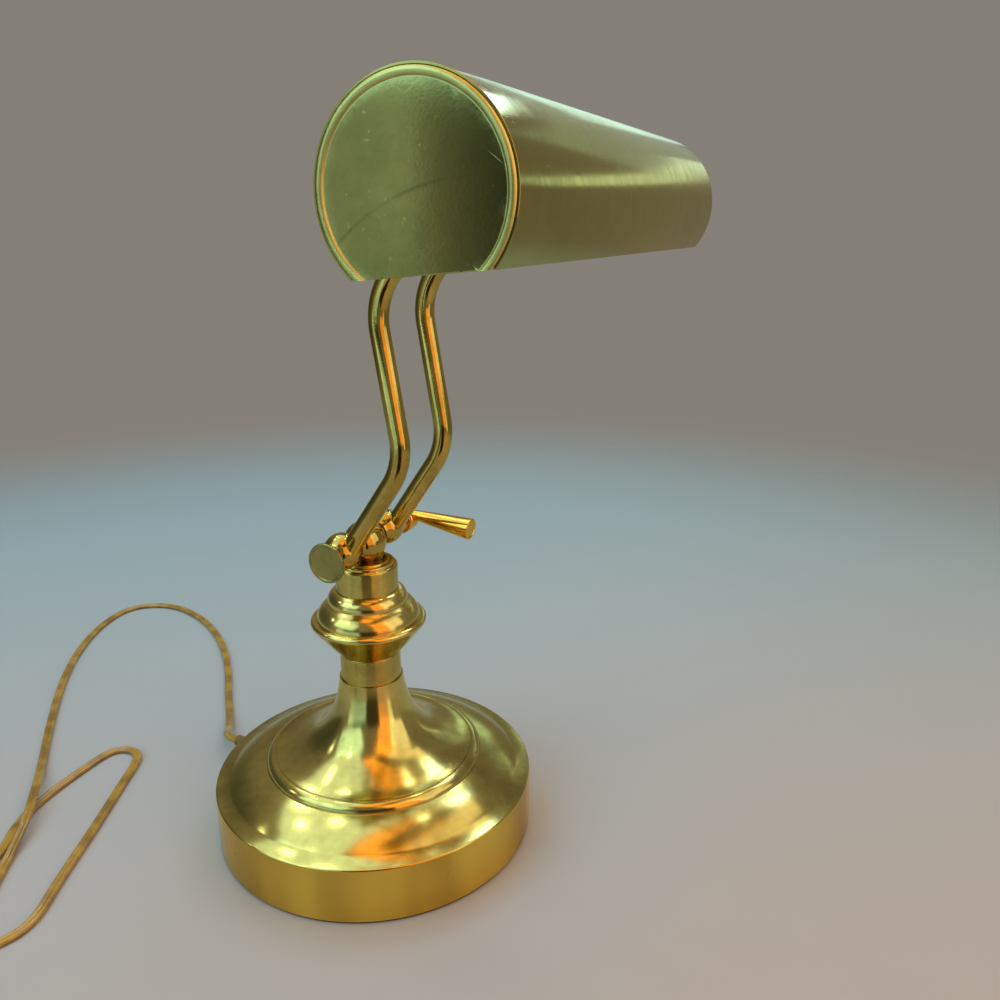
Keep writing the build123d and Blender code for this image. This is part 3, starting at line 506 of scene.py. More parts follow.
def baseOutline():
    radius, low, rim = base["radius"], base["low"], base["rim"]
    shoulder, dome, step, neck = base["shoulder"], base["dome"], base["step"], base["neck"]
    wall = rounded([(radius, low, 0), (radius, rim, base["crease"]), (*shoulder, 0)])
    crown = ((shoulder[0] + dome[0]) / 2, (shoulder[1] + dome[1]) / 2 + base["domeCrown"])
    diagonal = sqrt(0.5)
    bulge = (step[0] + (dome[0] - step[0]) * diagonal, dome[1] + (step[1] - dome[1]) * diagonal)
    groove = base["groove"]
    bead = arcThrough(dome, bulge, (step[0] + groove, step[1]), steps=10)
    dip = [(step[0] + groove * 0.5, step[1] - groove), (step[0] - groove * 0.5, step[1] - groove)]
    run, rise = step[0] - neck[0], neck[1] - step[1]
    flare = [(step[0] - groove, step[1] + base["grooveLip"])]
    flare += [(neck[0] + run * out, step[1] + rise * up) for out, up in trumpet["shares"]]
    flare = throughPoints(flare + [neck], trumpet["start"], trumpet["end"])
    return wall + arcThrough(shoulder, crown, dome)[1:-1] + bead + dip + flare


def makeBase():
    outer = baseOutline()
    inner = inset(outer, base["wall"])
    inner[0] = (inner[0][0], base["low"])
    hole, top = base["hole"], base["neck"][1]
    lid = [(hole, top), (hole, top - base["wall"])]
    inner = [point for point in inner if point[1] < top - base["wall"]]
    skin = turnedMesh(outer + lid + inner[::-1], sides=base["sides"], closed=True)
    addNode("baseShell", skin, "baseBrass", "base", "base_shell", sharp=30)
    felt, low = base["feltRadius"], base["low"]
    outline = [(0, 0, 0), (felt, 0, base["feltLowEdge"]), (felt, low, base["feltHighEdge"]), (0, low, 0)]
    disc = turnedMesh(rounded(outline), sides=base["sides"])
    addNode("feltPad", disc, "felt", "base", "felt_pad")


# column: turned pieces, one on the other

column = {
    "sides": 192, "neckLow": 88.1, "neckRadius": 16.1, "neckChamfer": 0.3, "neckEdge": 0.6, "neckTop": 2,
    "bowlLow": 102.8, "bowlFoot": 0.2, "belly": 23.2, "bowlRadius": 29.4, "beadLow": 119.0,
    "beadRadius": 30.4, "beadTop": 1.2, "capLow": 122.6, "capRadius": 27.1, "tier": 131.1,
    "tierRadius": 21.6, "tierStep": (0.7, 0.5), "lowerBulge": (1.3, 0.55), "upperBulge": (1.3, 0.9),
    "cupLow": 138.4, "cupRadius": 16.3, "cupFoot": 0.5, "cupChamfer": 0.25, "cupStraight": 1,
    "cupEdge": 1.5, "cupTop": 3, "seatLow": 152.2, "seatRadius": 14.6, "seatEdge": 0.45, "stepLow": 153.6,
    "stepRadius": 11.7, "stepCorner": 0.2, "stepEdge": 0.35, "seatTop": 154.4, "seatInner": 3,
}


def addTurned(name, outer, finish, node):
    hole = base["hole"]
    loop = outer + [(hole, outer[-1][1]), (hole, outer[0][1])]
    addNode(name, turnedMesh(loop, sides=column["sides"], closed=True), finish, "base", node)


def makeColumn():
    c = column
    neck, bowl, cap, cup = c["neckRadius"], c["bowlLow"], c["capLow"], c["cupLow"]
    chamfer = c["neckChamfer"]
    outer = [(neck - chamfer, c["neckLow"], 0), (neck, c["neckLow"] + chamfer, 0)]
    outer += [(neck, bowl, c["neckEdge"]), (neck - c["neckTop"], bowl, 0)]
    addTurned("neckRing", rounded(outer), "columnBrass", "neck_ring")

    belly = (c["belly"], (bowl + c["beadLow"]) / 2)
    lip = (c["bowlRadius"], c["beadLow"])
    bead = (c["beadRadius"], (c["beadLow"] + cap) / 2)
    outer = arcThrough((neck + c["bowlFoot"], bowl), belly, lip, steps=20)
    outer += arcThrough(lip, bead, (c["capRadius"] + c["beadTop"], cap), steps=12)[1:]
    addTurned("knobBowl", outer, "bowlBrass", "knob_bowl")

    tier, rise = c["tier"], c["tier"] - cap
    (lowerOut, lowerUp), (upperOut, upperUp) = c["lowerBulge"], c["upperBulge"]
    lower = ((c["capRadius"] + c["tierRadius"]) / 2 + lowerOut, cap + rise * lowerUp)
    upperLow = (c["tierRadius"] - c["tierStep"][0], tier + c["tierStep"][1])
    upper = ((upperLow[0] + c["cupRadius"]) / 2 + upperOut, (upperLow[1] + cup) / 2 + upperUp)
    outer = arcThrough((c["capRadius"], cap), lower, (c["tierRadius"], tier), steps=12)
    outer += arcThrough(upperLow, upper, (c["cupRadius"] + c["cupFoot"], cup), steps=12)
    addTurned("knobCap", outer, "bowlBrass", "knob_cap")

    seat, wide, chamfer = c["seatLow"], c["cupRadius"], c["cupChamfer"]
    outer = [(wide, cup + c["cupStraight"], 0), (wide, seat, c["cupEdge"]), (wide - c["cupTop"], seat, 0)]
    outer = [(wide - chamfer, cup), (wide, cup + chamfer)] + rounded(outer)
    addTurned("pivotCup", outer, "columnBrass", "pivot_cup")

    wide, step, top = c["seatRadius"], c["stepRadius"], c["seatTop"]
    outer = [(wide, seat, 0), (wide, c["stepLow"], c["seatEdge"]), (step, c["stepLow"], c["stepCorner"])]
    outer += [(step, top, c["stepEdge"]), (step - c["seatInner"], top, 0)]
    addTurned("seatRing", rounded(outer), "bowlBrass", "seat_ring")


# pivot and arms

pivot = {
    "axle": 163.9, "ball": 11.0, "ballNeck": 5.0, "ballReach": 11.0, "stem": 3.4, "stemLow": 142.7,
    "armAt": 21.0, "boss": 9.4, "bossRise": 1.6, "bossInset": 0.4, "bossInner": 11.9,
    "bossOuter": 28.5, "bossNeck": 5.2,
}
arms = {
    "radius": 4.75, "wall": 0.9, "sides": 72, "foot": (-2.7, 163.9), "footGap": 4.8, "knee": (-37.2, 214.0),
    "kneeBend": 32.5, "crook": (-22.8, 300.7), "crookBend": 32.0, "rod": (-81.617, 321.035), "eye": 6.4,
}
# endCap and hub are measured along the axle, lever along itself; a pair is across, then along
endCap = {
    "bellStart": 28.55, "bellLength": 4.6, "bell": 5.6, "flare": (1.2, 2.6), "flareBend": 4, "disc": 10.1,
    "thick": 1.7, "back": (0.7, 0.3), "backEdge": 0.4, "frontEdge": 0.55, "rimOuter": 1.3, "rimInner": 1.5,
    "sunk": 0.3, "rimEdge": 0.3,
}
hub = {
    "start": 28.8, "neck": 5.6, "neckBend": 0.3, "ringStart": 34.4, "ringEdge": 0.5, "radius": 7.0,
    "end": 43.4, "endEdge": 0.8, "groove": 0.5, "grooveAt": 36.5, "grooveHalf": 0.7, "grooveEdge": 0.2,
    "grooveBend": 0.3, "dome": 1.8, "domeShares": (0.6, 0.7), "domeBend": 3,
}
lever = {
    "at": 40.3, "lift": 3.7, "droop": 5.8, "rootReach": 2.8, "reach": 41.0, "root": 2.4, "tip": 5.9,
    "tipEdge": 0.6, "rimOuter": 1.1, "rimInner": 1.4, "rimEdge": 0.2, "sunk": 0.35,
}


def ballOutline(radius, low, high, neck, start, end):
    # a ball between two flats, with a round neck out to start and end
    spread = [(sqrt(max(radius**2 - x**2, 0)), x) for x in np.linspace(low, high, 40)]
    spread = [point for point in spread if point[0] > neck]
    return [(0, start), (neck, start)] + spread + [(neck, end), (0, end)]


def makePivot():
    p = pivot
    axle, radius, reach = p["axle"], p["ball"], p["ballReach"]
    outline = ballOutline(radius, -radius, radius, p["ballNeck"], -reach, reach)
    ball = turnedMesh(outline, (0, 0, axle), (1, 0, 0))
    outline = [(0, p["stemLow"]), (p["stem"], p["stemLow"]), (p["stem"], axle), (0, axle)]
    stem = turnedMesh(outline, sides=48)
    addNode("pivotBall", joined(ball, stem), "armBrass", "base", "pivot_ball", sharp=50)
    for side, place in ((-1, "Near"), (1, "Far")):
        x = side * (p["armAt"] - p["bossInset"])
        low, high = sorted((p["bossInner"] * side - x, p["bossOuter"] * side - x))
        outline = ballOutline(p["boss"], max(low, -p["boss"]), min(high, p["boss"]), p["bossNeck"], low, high)
        boss = turnedMesh(outline, (x, 0, axle + p["bossRise"]), (1, 0, 0))
        node = "arm_boss_" + place.lower()
        addNode("armBoss" + place, boss, "armBrass", "arms", node, sharp=50)


def armLine():
    foot, knee = Vector(arms["foot"]), Vector(arms["knee"])
    start = foot + (knee - foot).normalized() * arms["footGap"]
    crook, rod = Vector(arms["crook"]), Vector(arms["rod"])
    end = rod + (crook - rod).normalized() * arms["eye"]
    points = [(*start, 0), (*knee, arms["kneeBend"]), (*crook, arms["crookBend"]), (*end, 0)]
    return rounded(points, stepAngle=1.5)


def makeArms():
    line = np.array(armLine())
    way = np.gradient(line, axis=0)
    way /= np.linalg.norm(way, axis=1)[:, None]
    angles = [2 * pi * step / arms["sides"] for step in range(arms["sides"])]
    for x, place in ((-pivot["armAt"], "Near"), (pivot["armAt"], "Far")):
        rings = []
        for radius, order in ((arms["radius"], 1), (arms["radius"] - arms["wall"], -1)):
            spokes = [(radius * cos(angle), radius * sin(angle)) for angle in angles]
            for (y, z), (wy, wz) in list(zip(line, way))[::order]:
                rings.append([(x + across, y - wz * up, z + wy * up) for across, up in spokes])
        tube = skinned(rings, closedAlong=True)
        addNode("arm" + place, tube, "armBrass", "arms", "arm_" + place.lower())


def makeEndCap():
    c = endCap
    start, bell, disc = c["bellStart"], c["bell"], c["disc"]
    (flareOut, flareAlong), (backIn, backAlong) = c["flare"], c["back"]
    back = start + c["bellLength"]
    end = back + c["thick"]
    field = end - c["sunk"]
    outline = [(0, start, 0), (bell, start, 0), (bell + flareOut, start + flareAlong, c["flareBend"])]
    outline += [(disc - backIn, back, c["backEdge"]), (disc, back + backAlong, c["backEdge"])]
    outline += [(disc, end, c["frontEdge"]), (disc - c["rimOuter"], end, c["rimEdge"])]
    outline += [(disc - c["rimInner"], field, c["rimEdge"]), (0, field, 0)]
    mesh = turnedMesh(rounded(outline), (0, 0, pivot["axle"]), (-1, 0, 0))
    addNode("axleEndCap", mesh, "discBrass", "arms", "axle_end_cap")


def makeHub():
    h = hub
    radius, end, edge = h["radius"], h["end"], h["grooveEdge"]
    grooveAt, grooveHalf = h["grooveAt"], h["grooveHalf"]
    domeOut, domeUp = h["domeShares"]
    outline = [(0, h["start"], 0), (h["neck"], h["start"], 0), (h["neck"], h["ringStart"], h["neckBend"])]
    outline += [(radius, h["ringStart"], h["ringEdge"]), (radius, grooveAt - grooveHalf, edge)]
    outline += [(radius - h["groove"], grooveAt, h["grooveBend"]), (radius, grooveAt + grooveHalf, edge)]
    outline += [(radius, end, h["endEdge"]), (radius * domeOut, end + h["dome"] * domeUp, h["domeBend"])]
    outline += [(0, end + h["dome"], 0)]
    mesh = turnedMesh(rounded(outline), (0, 0, pivot["axle"]), (1, 0, 0))
    addNode("clampHub", mesh, "leverBrass", "clamp", "clamp_hub")


def makeLever():
    v = lever
    droop = radians(v["droop"])
    way = (0, -cos(droop), -sin(droop))
    root = (v["at"], -v["rootReach"], pivot["axle"] + v["lift"] - v["rootReach"] * tan(droop))
    length = (v["reach"] - v["rootReach"]) / cos(droop)
    tip, field = v["tip"], length - v["sunk"]
    outline = [(0, 0, 0), (v["root"], 0, 0), (tip, length, v["tipEdge"])]
    outline += [(tip - v["rimOuter"], length, v["rimEdge"]), (tip - v["rimInner"], field, v["rimEdge"])]
    outline += [(0, field, 0)]
    mesh = turnedMesh(rounded(outline), root, way, sides=96)
    addNode("clampLever", mesh, "leverBrass", "clamp", "clamp_lever")


# shade: a rolled trough closed by a pressed pan at each end

shade = {
    "length": 254.0, "radius": 34.0, "wall": 0.7, "centre": (-106.2, 329.5), "tilt": 5.3, "mouth": 45.9,
    "edge": 0.12, "rings": 64, "ringsFrom": 2, "aroundPoints": 136, "slotWidth": 11.5, "slotLength": 23.0,
    "slotReach": 6,
}
# the hem turned in along each lip
hem = {"width": 2.6, "short": 8.0, "start": 0.2, "end": 0.9, "edge": 0.3}
caps = {
    "depth": 7.5, "fit": 0.05, "wall": 0.7, "bead": 1.5, "beadProud": 0.9, "beadSteps": 22, "foot": 0.4,
    "fieldRings": (27, 20, 10, 0), "sides": 256, "sharp": 12, "near": 0.01,
}


def shadeSpot(x, front, up):
    # a place in the shade's own section, front and up from its middle, turned with its tilt
    y, z = shade["centre"]
    tilt = radians(shade["tilt"])
    return x, y - front * cos(tilt) + up * sin(tilt), z + front * sin(tilt) + up * cos(tilt)


def mouthCorner():
    # how far down and to the front the trough's lips lie
    angle = radians(shade["mouth"])
    return shade["radius"] * cos(angle), shade["radius"] * sin(angle)


def troughSection(ease):
    outer, inner = shade["radius"] - ease, shade["radius"] - shade["wall"] + ease
    reach = 180 - shade["mouth"]
    angles = np.radians(np.linspace(-reach, reach, shade["aroundPoints"]))
    section = [(outer * sin(a), outer * cos(a)) for a in angles]
    section += [(inner * sin(a), inner * cos(a)) for a in angles[::-1]]
    return section


def makeShade():
    half, edge, inward = shade["length"] / 2, shade["edge"], shade["ringsFrom"]
    middle = list(np.linspace(-half + inward, half - inward, shade["rings"]))
    rings = []
    for x in [-half, -half + edge] + middle + [half - edge, half]:
        ease = edge if abs(x) == half else 0.0
        rings.append([shadeSpot(x, *spot) for spot in troughSection(ease)])
    trough = skinned(rings, endFaces=True)
    cutSlots(addNode("shadeTube", trough, "shadeBrass", "shade", "shade_tube", sharp=30))

    depth, lip = mouthCorner()
    top, inner = -depth + shade["wall"], lip - hem["width"]
    corners = [(lip - hem["start"], -depth, 0), (inner, -depth, hem["edge"])]
    section = rounded(corners + [(inner, top, hem["edge"]), (lip - hem["end"], top, 0)], stepAngle=20)
    strips = []
    for side in (-1, 1):
        ends = (-half + hem["short"], half - hem["short"])
        rings = [[shadeSpot(x, side * front, up) for front, up in section] for x in ends]
        strips.append(skinned(rings, endFaces=True))
    hems = addPiece("shadeHems", *joined(*strips), "shadeBrass", "shade", sharp=30)


def carve(piece, points, faces):
    cutter = addPiece("cutter", points, faces, "plainBrass", "shade")
    cut = piece.modifiers.new("carve", "BOOLEAN")
    cut.operation = "DIFFERENCE"
    cut.solver = "EXACT"
    cut.object = cutter
    bpy.context.view_layer.update()
    done = bpy.data.meshes.new_from_object(piece.evaluated_get(bpy.context.evaluated_depsgraph_get()))
    piece.modifiers.clear()
    piece.data = done
    bpy.data.objects.remove(cutter)
    piece.data.shade_smooth()


def cutSlots(piece):
    # the arms come through the shade's wall in two stadium slots
    y, z = shade["centre"]
    rod = Vector(arms["rod"]) - Vector((y, z))
    way = (Vector(arms["crook"]) - Vector(arms["rod"])).normalized()
    middle = shade["radius"] - shade["wall"] / 2
    along = rod.dot(way)
    crossing = rod + way * (sqrt(along**2 + middle**2 - rod.length_squared) - along)
    out = Vector((0, *crossing)).normalized()
    across = Vector((1, 0, 0))
    down = out.cross(across)
    half, end = shade["slotWidth"] / 2, (shade["slotLength"] - shade["slotWidth"]) / 2
    outline = []
    for turn in range(0, 360, 10):
        angle = radians(turn)
        shift = end if 0 <= turn <= 180 else -end
        outline.append((half * cos(angle), half * sin(angle) + shift))
    for x in (-pivot["armAt"], pivot["armAt"]):
        centre = Vector((x, crossing[0] + y, crossing[1] + z))
        ends = (-shade["slotReach"], shade["slotReach"])
        rings = [[centre + across * a + down * b + out * reach for a, b in outline] for reach in ends]
        carve(piece, *skinned(rings, endFaces=True))
    piece.data.set_sharp_from_angle(angle=radians(30))


def cutOff(points, faces, at, out):
    # what lies past a plane is taken away and the cut closed with one flat face
    shape = bmesh.new()
    spots = [shape.verts.new(point) for point in points]
    for face in faces:
        shape.faces.new([spots[index] for index in face])
    geom = shape.verts[:] + shape.edges[:] + shape.faces[:]
    cut = bmesh.ops.bisect_plane(shape, geom=geom, plane_co=at, plane_no=out, clear_outer=True, dist=1e-4)
    rim = [edge for edge in cut["geom_cut"] if isinstance(edge, bmesh.types.BMEdge)]
    bmesh.ops.contextual_create(shape, geom=rim)
    return shape


def listed(shape):
    shape.verts.index_update()
    points = [vertex.co.copy() for vertex in shape.verts]
    faces = [[vertex.index for vertex in face.verts] for face in shape.faces]
    shape.free()
    return points, faces


def capBlank(side, inward):
    # the pan's outside moved in: a disc with a rolled bead round its field, cut off by the mouth
    rim = shade["radius"] - shade["wall"] - caps["fit"] - inward
    size, sunk = caps["bead"] - inward, caps["bead"] - caps["beadProud"]
    half = shade["length"] / 2
    meet = acos((sunk - inward) / size)
    back = caps["depth"] + inward
    profile = [(0, back), (rim, back)]
    for turn in np.linspace(pi / 2, -meet, caps["beadSteps"]):
        profile.append((rim - size + size * sin(turn), sunk - size * cos(turn)))
    profile += [(radius, inward) for radius in caps["fieldRings"]]
    outline = [(radius, half - deep) for radius, deep in profile]
    mesh = turnedMesh(outline, (0, *shade["centre"]), (side, 0, 0), caps["sides"])
    edge = Vector(shadeSpot(side * (half - inward), 0, inward - mouthCorner()[0]))
    down = (Vector(shadeSpot(0, 0, -1)) - Vector(shadeSpot(0, 0, 0))).normalized()
    shape = cutOff(*mesh, edge, down)
    if inward == 0:
        roundFoot(shape, edge, down)
    return listed(shape)


def roundFoot(shape, edge, down):
    # the front edge along the cut, where every line has both its ends near that edge
    def lies(end):
        return abs(end.co.x - edge.x) < caps["near"] and abs((end.co - edge).dot(down)) < caps["near"]

    foot = [line for line in shape.edges if all(lies(end) for end in line.verts)]
    bmesh.ops.bevel(shape, geom=foot, offset=caps["foot"], segments=3, profile=0.5, affect="EDGES")


def makeCap(side, place):
    node = "shade_cap_" + place.lower()
    piece = addNode("shadeCap" + place, capBlank(side, 0), "capBrass", "shade", node)
    carve(piece, *capBlank(side, caps["wall"]))
    piece.data.set_sharp_from_angle(angle=radians(caps["sharp"]))


# the mains lead: its points are those of the solid's route; it lies flat, and turns on edge for the coil

lead = {
    "width": 5.2, "thick": 2.6, "web": 0.75, "lying": 1.5, "over": 7.0, "exitAngle": 85.0,
    "exitHeight": 12.0, "exitReach": 108.0, "coilCentre": (-230.0, 94.0), "coilOuter": 33.0,
    "coilInner": 22.6, "coilLow": 2.8, "layer": 5.2, "coilTurns": 2, "coilPoints": 16, "stub": 19.0,
    "stubNear": 2, "stubHigh": (0.5, 0.6), "riseSteps": 4, "firstStep": 9.5, "turnsOver": 45,
    "turnsBack": 22, "sectionStep": 24, "sectionEnd": 120,
}


def leaving(reach):
    angle = radians(lead["exitAngle"])
    out = lead["exitReach"] + reach
    return out * cos(angle), out * sin(angle), lead["exitHeight"]


def leadRoute():
    low, over = lead["lying"], lead["over"]
    x, y = lead["coilCentre"]
    outer, inner, edge = lead["coilOuter"], lead["coilInner"], lead["coilLow"]
    corners = [
        (22.5, 127.5, 6.8), (41.5, 142.5), (66, 165.5), (95, 190), (130, 227), (156, 270), (166.5, 313),
        (149, 343), (113, 339), (70, 317.5), (28, 286), (-14, 247), (-50, 211), (-70, 189.5, over),
        (-94, 167.5, over), (-115, 156), (-138, 140.5), (-161, 130), (-181, 136), (-187, 155),
        (-174, 170), (-152, 168), (-133, 159), (-114, 162.5), (-94, 176.5), (-68, 183), (-42, 184.6),
        (-22, 185), (-15, 178), (-15, 168), (-22, 161), (-42, 152), (-80, 133.5), (-117, 117),
        (-143, 103.5), (-160, 108), (-177, 121, (low + edge) / 2), (-194, 127, edge),
        (x + lead["stub"], y + outer, edge),
    ]
    # a corner without a height of its own lies on the floor
    route = [leaving(0), leaving(lead["firstStep"])] + [(*corner, low)[:3] for corner in corners]
    count = lead["coilTurns"] * lead["coilPoints"]
    for layer, (first, last) in enumerate(((outer, inner), (inner, outer))):
        for step in range(count):
            angle = pi / 2 + 2 * pi * step / lead["coilPoints"]
            radius = first + (last - first) * step / count
            rise = layer * min(1, (step + 1) / lead["riseSteps"])
            spot = (x + radius * cos(angle), y + radius * sin(angle))
            route.append((*spot, edge + rise * lead["layer"]))
    along, up = lead["stubHigh"]
    route.append((x, y + outer, edge + lead["layer"]))
    route.append((x - lead["stub"] * along, y + outer, edge + lead["layer"] * up))
    route.append((x - lead["stub"], y + outer, edge))
    return route


def splinePoints(route):
    curve = bpy.data.curves.new("leadLine", "CURVE")
    curve.dimensions = "3D"
    spline = curve.splines.new("NURBS")
    spline.points.add(len(route) - 1)
    for point, spot in zip(spline.points, route):
        point.co = (*spot, 1)
    spline.order_u = 3
    spline.use_endpoint_u = True
    spline.resolution_u = 8
    line = linked("leadLine", curve)
    bpy.context.view_layer.update()
    mesh = bpy.data.meshes.new_from_object(line)
    points = [vertex.co.copy() for vertex in mesh.vertices]
    bpy.data.objects.remove(line)
    bpy.data.meshes.remove(mesh)
    return points


def twinSection():
    radius, end = lead["thick"] / 2, lead["sectionEnd"]
    angles = [radians(angle) for angle in range(-end, end + 1, lead["sectionStep"])]
    right = [(radius + radius * cos(angle), radius * sin(angle)) for angle in angles]
    left = [(-across, up) for across, up in right[::-1]]
    return right + [(0, lead["web"])] + left + [(0, -lead["web"])]


def coilStart(points):
    # the coil starts where the lead first comes to its stub, past the first third of the lead
    x, y = lead["coilCentre"][0] + lead["stub"], lead["coilCentre"][1] + lead["coilOuter"]
    for index in range(len(points) // 3 + 1, len(points)):
        if points[index].x < x + lead["stubNear"] and abs(points[index].y - y) < lead["stubNear"]:
            return index


def makeLead():
    points = splinePoints(leadRoute())
    section = twinSection()
    steps = [0.0]
    for before, after in zip(points, points[1:]):
        steps.append(steps[-1] + (after - before).length)
    coilFrom = steps[coilStart(points)]
    rings = []
    for index, point in enumerate(points):
        way = (points[min(index + 1, len(points) - 1)] - points[max(index - 1, 0)]).normalized()
        flat = way.cross(Vector((0, 0, 1))).normalized()
        square = flat.cross(way).normalized()
        toCoil = (steps[index] - coilFrom) / lead["turnsOver"] + 1
        toPlug = (steps[-1] - steps[index]) / lead["turnsBack"]
        turn = pi / 2 * max(0.0, min(1.0, toCoil, toPlug))
        wide = flat * cos(turn) + square * sin(turn)
        tall = square * cos(turn) - flat * sin(turn)
        rings.append([point + wide * across + tall * up for across, up in section])
    piece = addPiece("mainsLead", *skinned(rings, endFaces=True), "vinyl", "base", sharp=60)
    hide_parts("cord", "cord_coil")
    exitPoint = [value * mm for value in leaving(0)]


# inner and small pieces keep their solids and get a finish

nodeFinishes = {
    "steel": ["base_plate", "lamp_pipe", "pipe_washer", "axle", "hinge_rod"],
    "castIron": ["base_weight"],
    "plainBrass": ["pipe_nut", "arm_eye_near", "arm_eye_far", "saddle_near", "saddle_far", "holder_shell",
                   "holder_bush", "ring_nut", "screw_shell", "centre_contact", "plug_blades"],
    "shadeBrass": ["saddle_rivets"],
    "leverBrass": ["switch_knob"],
    "wire": ["base_lead", "arm_lead", "shade_lead"],
    "moulding": ["cord_bushing", "plug_body"],
    "porcelain": ["holder_insulator"],
    "fibre": ["friction_washers"],
    "frosted": ["bulb_glass"],
    "zinc": ["bulb_cap"],
}


def dressNodes():
    for finish, names in nodeFinishes.items():
        for name in names:
            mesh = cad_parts[name].data
            mesh.materials.clear()
            mesh.materials.append(finishes[finish].material)


# floor, light and camera

# lamps at this height face straight down, all others face this spot
ceilingHeight = 1.6
lampAim = (0, 0, 0.15)
# each lamp: place, size across and up, the brightness of its face, its tint, and any roll in degrees
lamps = {
    "ceilingCool": ((0, 0.70, ceilingHeight), (2.4, 1.20), 1.35, (0.64, 0.88, 1)),
    "ceilingOrange": ((-0.10, -0.26, ceilingHeight), (1.3, 0.66), 1.75, (1, 0.36, 0.01)),
    "ceilingEnd": ((0.88, -0.26, ceilingHeight), (0.60, 0.66), 1.15, (1, 0.80, 0.50)),
    "ceilingWarm": ((0.40, -0.92, ceilingHeight), (1.5, 0.60), 1.25, (1, 0.84, 0.58)),
    "ceilingCorner": ((-0.80, -0.92, ceilingHeight), (0.85, 0.60), 1.25, (1, 0.38, 0.02)),
    "leftHigh": ((-1.00, 0.48, 0.86), (1.15, 0.76), 1.9, (0.50, 0.86, 1)),
    "leftLow": ((-0.82, 0.20, 0.10), (0.80, 0.18), 1.2, (0.46, 0.80, 1)),
    "leftWall": ((-1.05, 0.60, 0.33), (0.34, 0.50), 0.26, (0.74, 1, 0.90)),
    "warmBox": ((-0.43, -0.79, 0.55), (0.60, 1.05), 1.40, (1, 0.34, 0.01)),
    "rightBox": ((0.10, -1.20, 0.75), (0.85, 1.00), 1.15, (1, 0.92, 0.80)),
    "rightLow": ((-0.12, -1.00, 0.14), (0.22, 0.28), 1.1, (1, 0.92, 0.75)),
    "shadeStrip": ((2.10, -0.60, 0.69), (0.95, 0.12), 0.88, (0.72, 1, 0.85), 20),
    "shadeBox": ((2.25, 0.05, 1.05), (1.30, 0.50), 0.26, (0.56, 0.95, 1)),
    "shadeTop": ((2.30, 0.60, 0.92), (0.70, 0.45), 0.80, (0.58, 1, 0.95)),
    "shadeSpot": ((0.42, -0.10, 0.66), (0.17, 0.12), 7.0, (0.42, 0.66, 1)),
}
# small round lamps: the azimuth and height of each in degrees, and what they share
spots = {
    "ways": ((57, 50), (62, 66), (93, 60), (114, 35), (151, 51), (-12, 70), (10, 49)),
    "away": 1.75, "size": 0.12, "glow": 12.0, "tint": (0.85, 1, 0.95),
}
# a dark card before the lamp, which only reflections see
card = {"azimuth": 212, "away": 0.33, "width": 0.20, "top": 0.18, "tone": (0.04, 0.035, 0.025)}
wallTone = (0.235, 0.215, 0.185)
# soft patches of the wall: azimuth and height, full within, gone beyond, in degrees, and the colour
patches = {
    "ceiling": (0, 90, 20, 60, (0.22, 0.18, 0.13)),
    "dimSide": (93, 5, 14, 40, (0.08, 0.09, 0.08)),
    "dimFront": (174, 3, 17, 24, (0.04, 0.045, 0.035)),
}
# the floor turns from warm to cool across the room and fades into the wall
floorLook = {
    "warm": (0.42, 0.41, 0.42), "cool": (0.30, 0.43, 0.50), "coolEnds": (-0.35, 0.70), "coolSlant": 0.5,
    "size": 6.0, "fadeEnds": (0.55, 1.15), "grainScale": 800.0, "grainShare": 0.3, "grainRough": 0.2,
    "rough": 0.55, "depth": 0.00002, "strength": 0.5,
}


def wayFrom(azimuth, height):
    turn, rise = radians(azimuth), radians(height)
    return cos(turn) * cos(rise), sin(turn) * cos(rise), sin(rise)


def makeSky():
    sky = Finish("studio", bpy.data.worlds.new("studio"))
    x, y, z = sky.axes("Generated")
    colour = wallTone
    for azimuth, height, full, gone, tint in patches.values():
        way = wayFrom(azimuth, height)
        facing = x * way[0] + y * way[1] + z * way[2]
        share = facing.rises(cos(radians(gone)), cos(radians(full)))
        colour = sky.mix(share, colour, tint)
    sky.set(Color=colour)
    bpy.context.scene.world = sky.material


def addLamp(name, place, size, glow, tint, roll=0, shape="RECTANGLE"):
    data = bpy.data.lights.new(name, "AREA")
    data.shape = shape
    data.size, data.size_y = size
    data.energy = glow * pi * size[0] * size[1]
    data.color = tint
    light = linked(name, data)
    light.location = place
    if place[2] != ceilingHeight:
        facing = (Vector(lampAim) - Vector(place)).to_track_quat("-Z", "Y").to_matrix()
        light.rotation_euler = (facing @ Matrix.Rotation(radians(roll), 3, "Z")).to_euler()
    light.visible_camera = False


def addSheet(name, corners, finish):
    mesh = bpy.data.meshes.new(name)
    mesh.from_pydata(corners, [], [(0, 1, 2, 3)])
    mesh.materials.append(finish.material)
    sheet = linked(name, mesh)
    return sheet


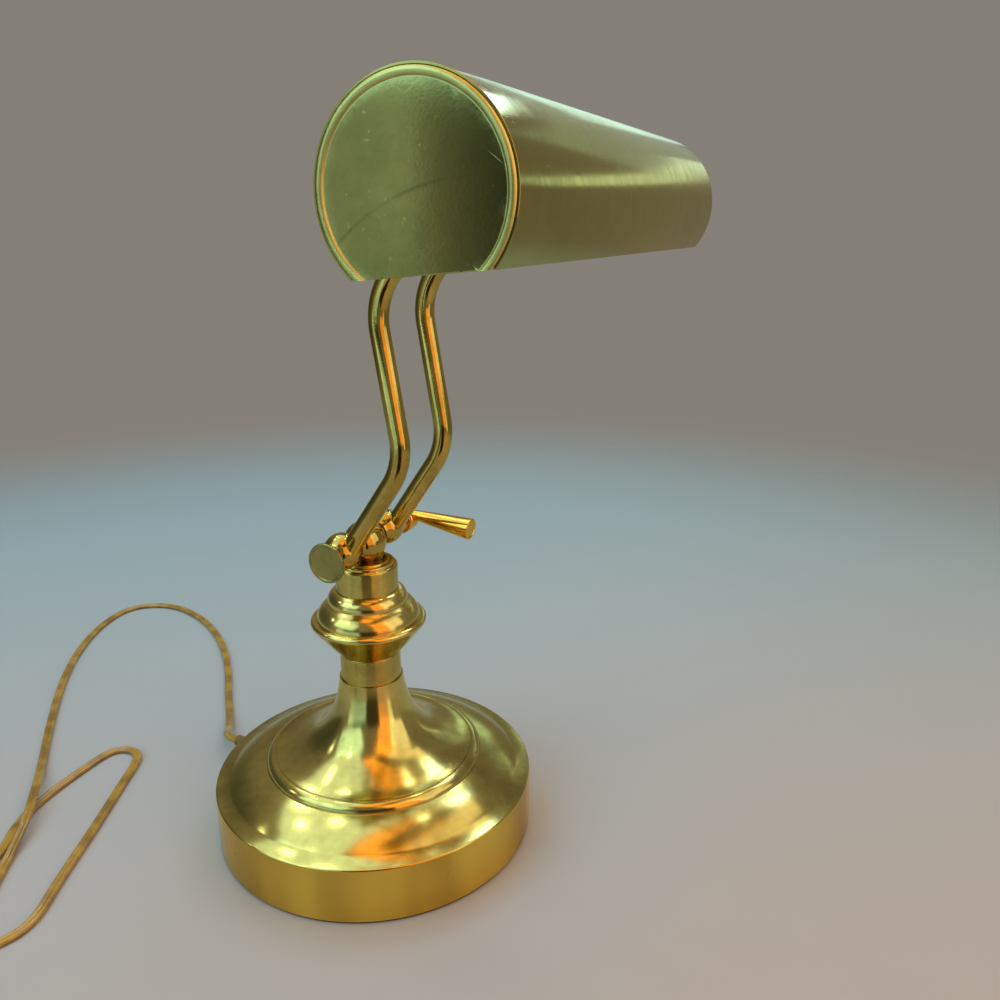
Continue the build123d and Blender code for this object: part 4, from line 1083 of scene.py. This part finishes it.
def makeCard():
    out = Vector(wayFrom(card["azimuth"], 0))
    aside = Vector((-out.y, out.x, 0)) * card["width"] / 2
    foot, rise = out * card["away"], Vector((0, 0, card["top"]))
    corners = [foot - aside, foot + aside, foot + aside + rise, foot - aside + rise]
    sheet = addSheet("darkCard", corners, makePlain("darkCard", card["tone"], card["tone"], 0.9))
    sheet.visible_camera = sheet.visible_shadow = sheet.visible_diffuse = False


def makeFloor():
    f = floorLook
    floor = Finish("floor")
    x, y, z = floor.axes()
    grain = floor.noise(floor.place(), f["grainScale"], 4.0)
    cool = (x + y * f["coolSlant"]).rises(*f["coolEnds"]) + (grain - 0.5) * f["grainShare"]
    colour = floor.mix(cool, f["warm"], f["cool"])
    floor.set(Base_Color=colour, Roughness=grain * f["grainRough"] + f["rough"])
    floor.bump(grain, f["depth"], f["strength"])
    floor.set(Alpha=1 - ((x * x + y * y) ** 0.5).rises(*f["fadeEnds"]))
    half = f["size"] / 2
    addSheet("floor", [(-half, -half, 0), (half, -half, 0), (half, half, 0), (-half, half, 0)], floor)


def makeStudio():
    for name, lamp in lamps.items():
        addLamp(name, *lamp)
    size = (spots["size"], spots["size"])
    for index, (azimuth, height) in enumerate(spots["ways"]):
        place = [spots["away"] * part for part in wayFrom(azimuth, height)]
        addLamp(f"spot{index + 1}", place, size, spots["glow"], spots["tint"], shape="ELLIPSE")
    makeCard()
    makeSky()
    makeFloor()
    bpy.context.scene.view_settings.view_transform = "Standard"


cameraView = {
    "at": (-0.36100, -0.24046, 0.32137), "heading": -65.564, "down": 17.524, "lens": 31.81, "sensor": 36.0,
}


def makeCamera():
    data = bpy.data.cameras.new("camera")
    data.lens = cameraView["lens"]
    data.sensor_width = cameraView["sensor"]
    camera = linked("camera", data)
    camera.location = cameraView["at"]
    camera.rotation_euler = (radians(90 - cameraView["down"]), 0, radians(cameraView["heading"]))
    bpy.context.scene.camera = camera


makeCamera()
makeStudio()
print("studio set")
makeLead()
print("lead laid")
makeBase()
makeColumn()
print("base and column made")
makePivot()
makeArms()
makeEndCap()
makeHub()
makeLever()
print("arms made")
makeShade()
makeCap(-1, "Near")
makeCap(1, "Far")
print("shade made")
dressNodes()
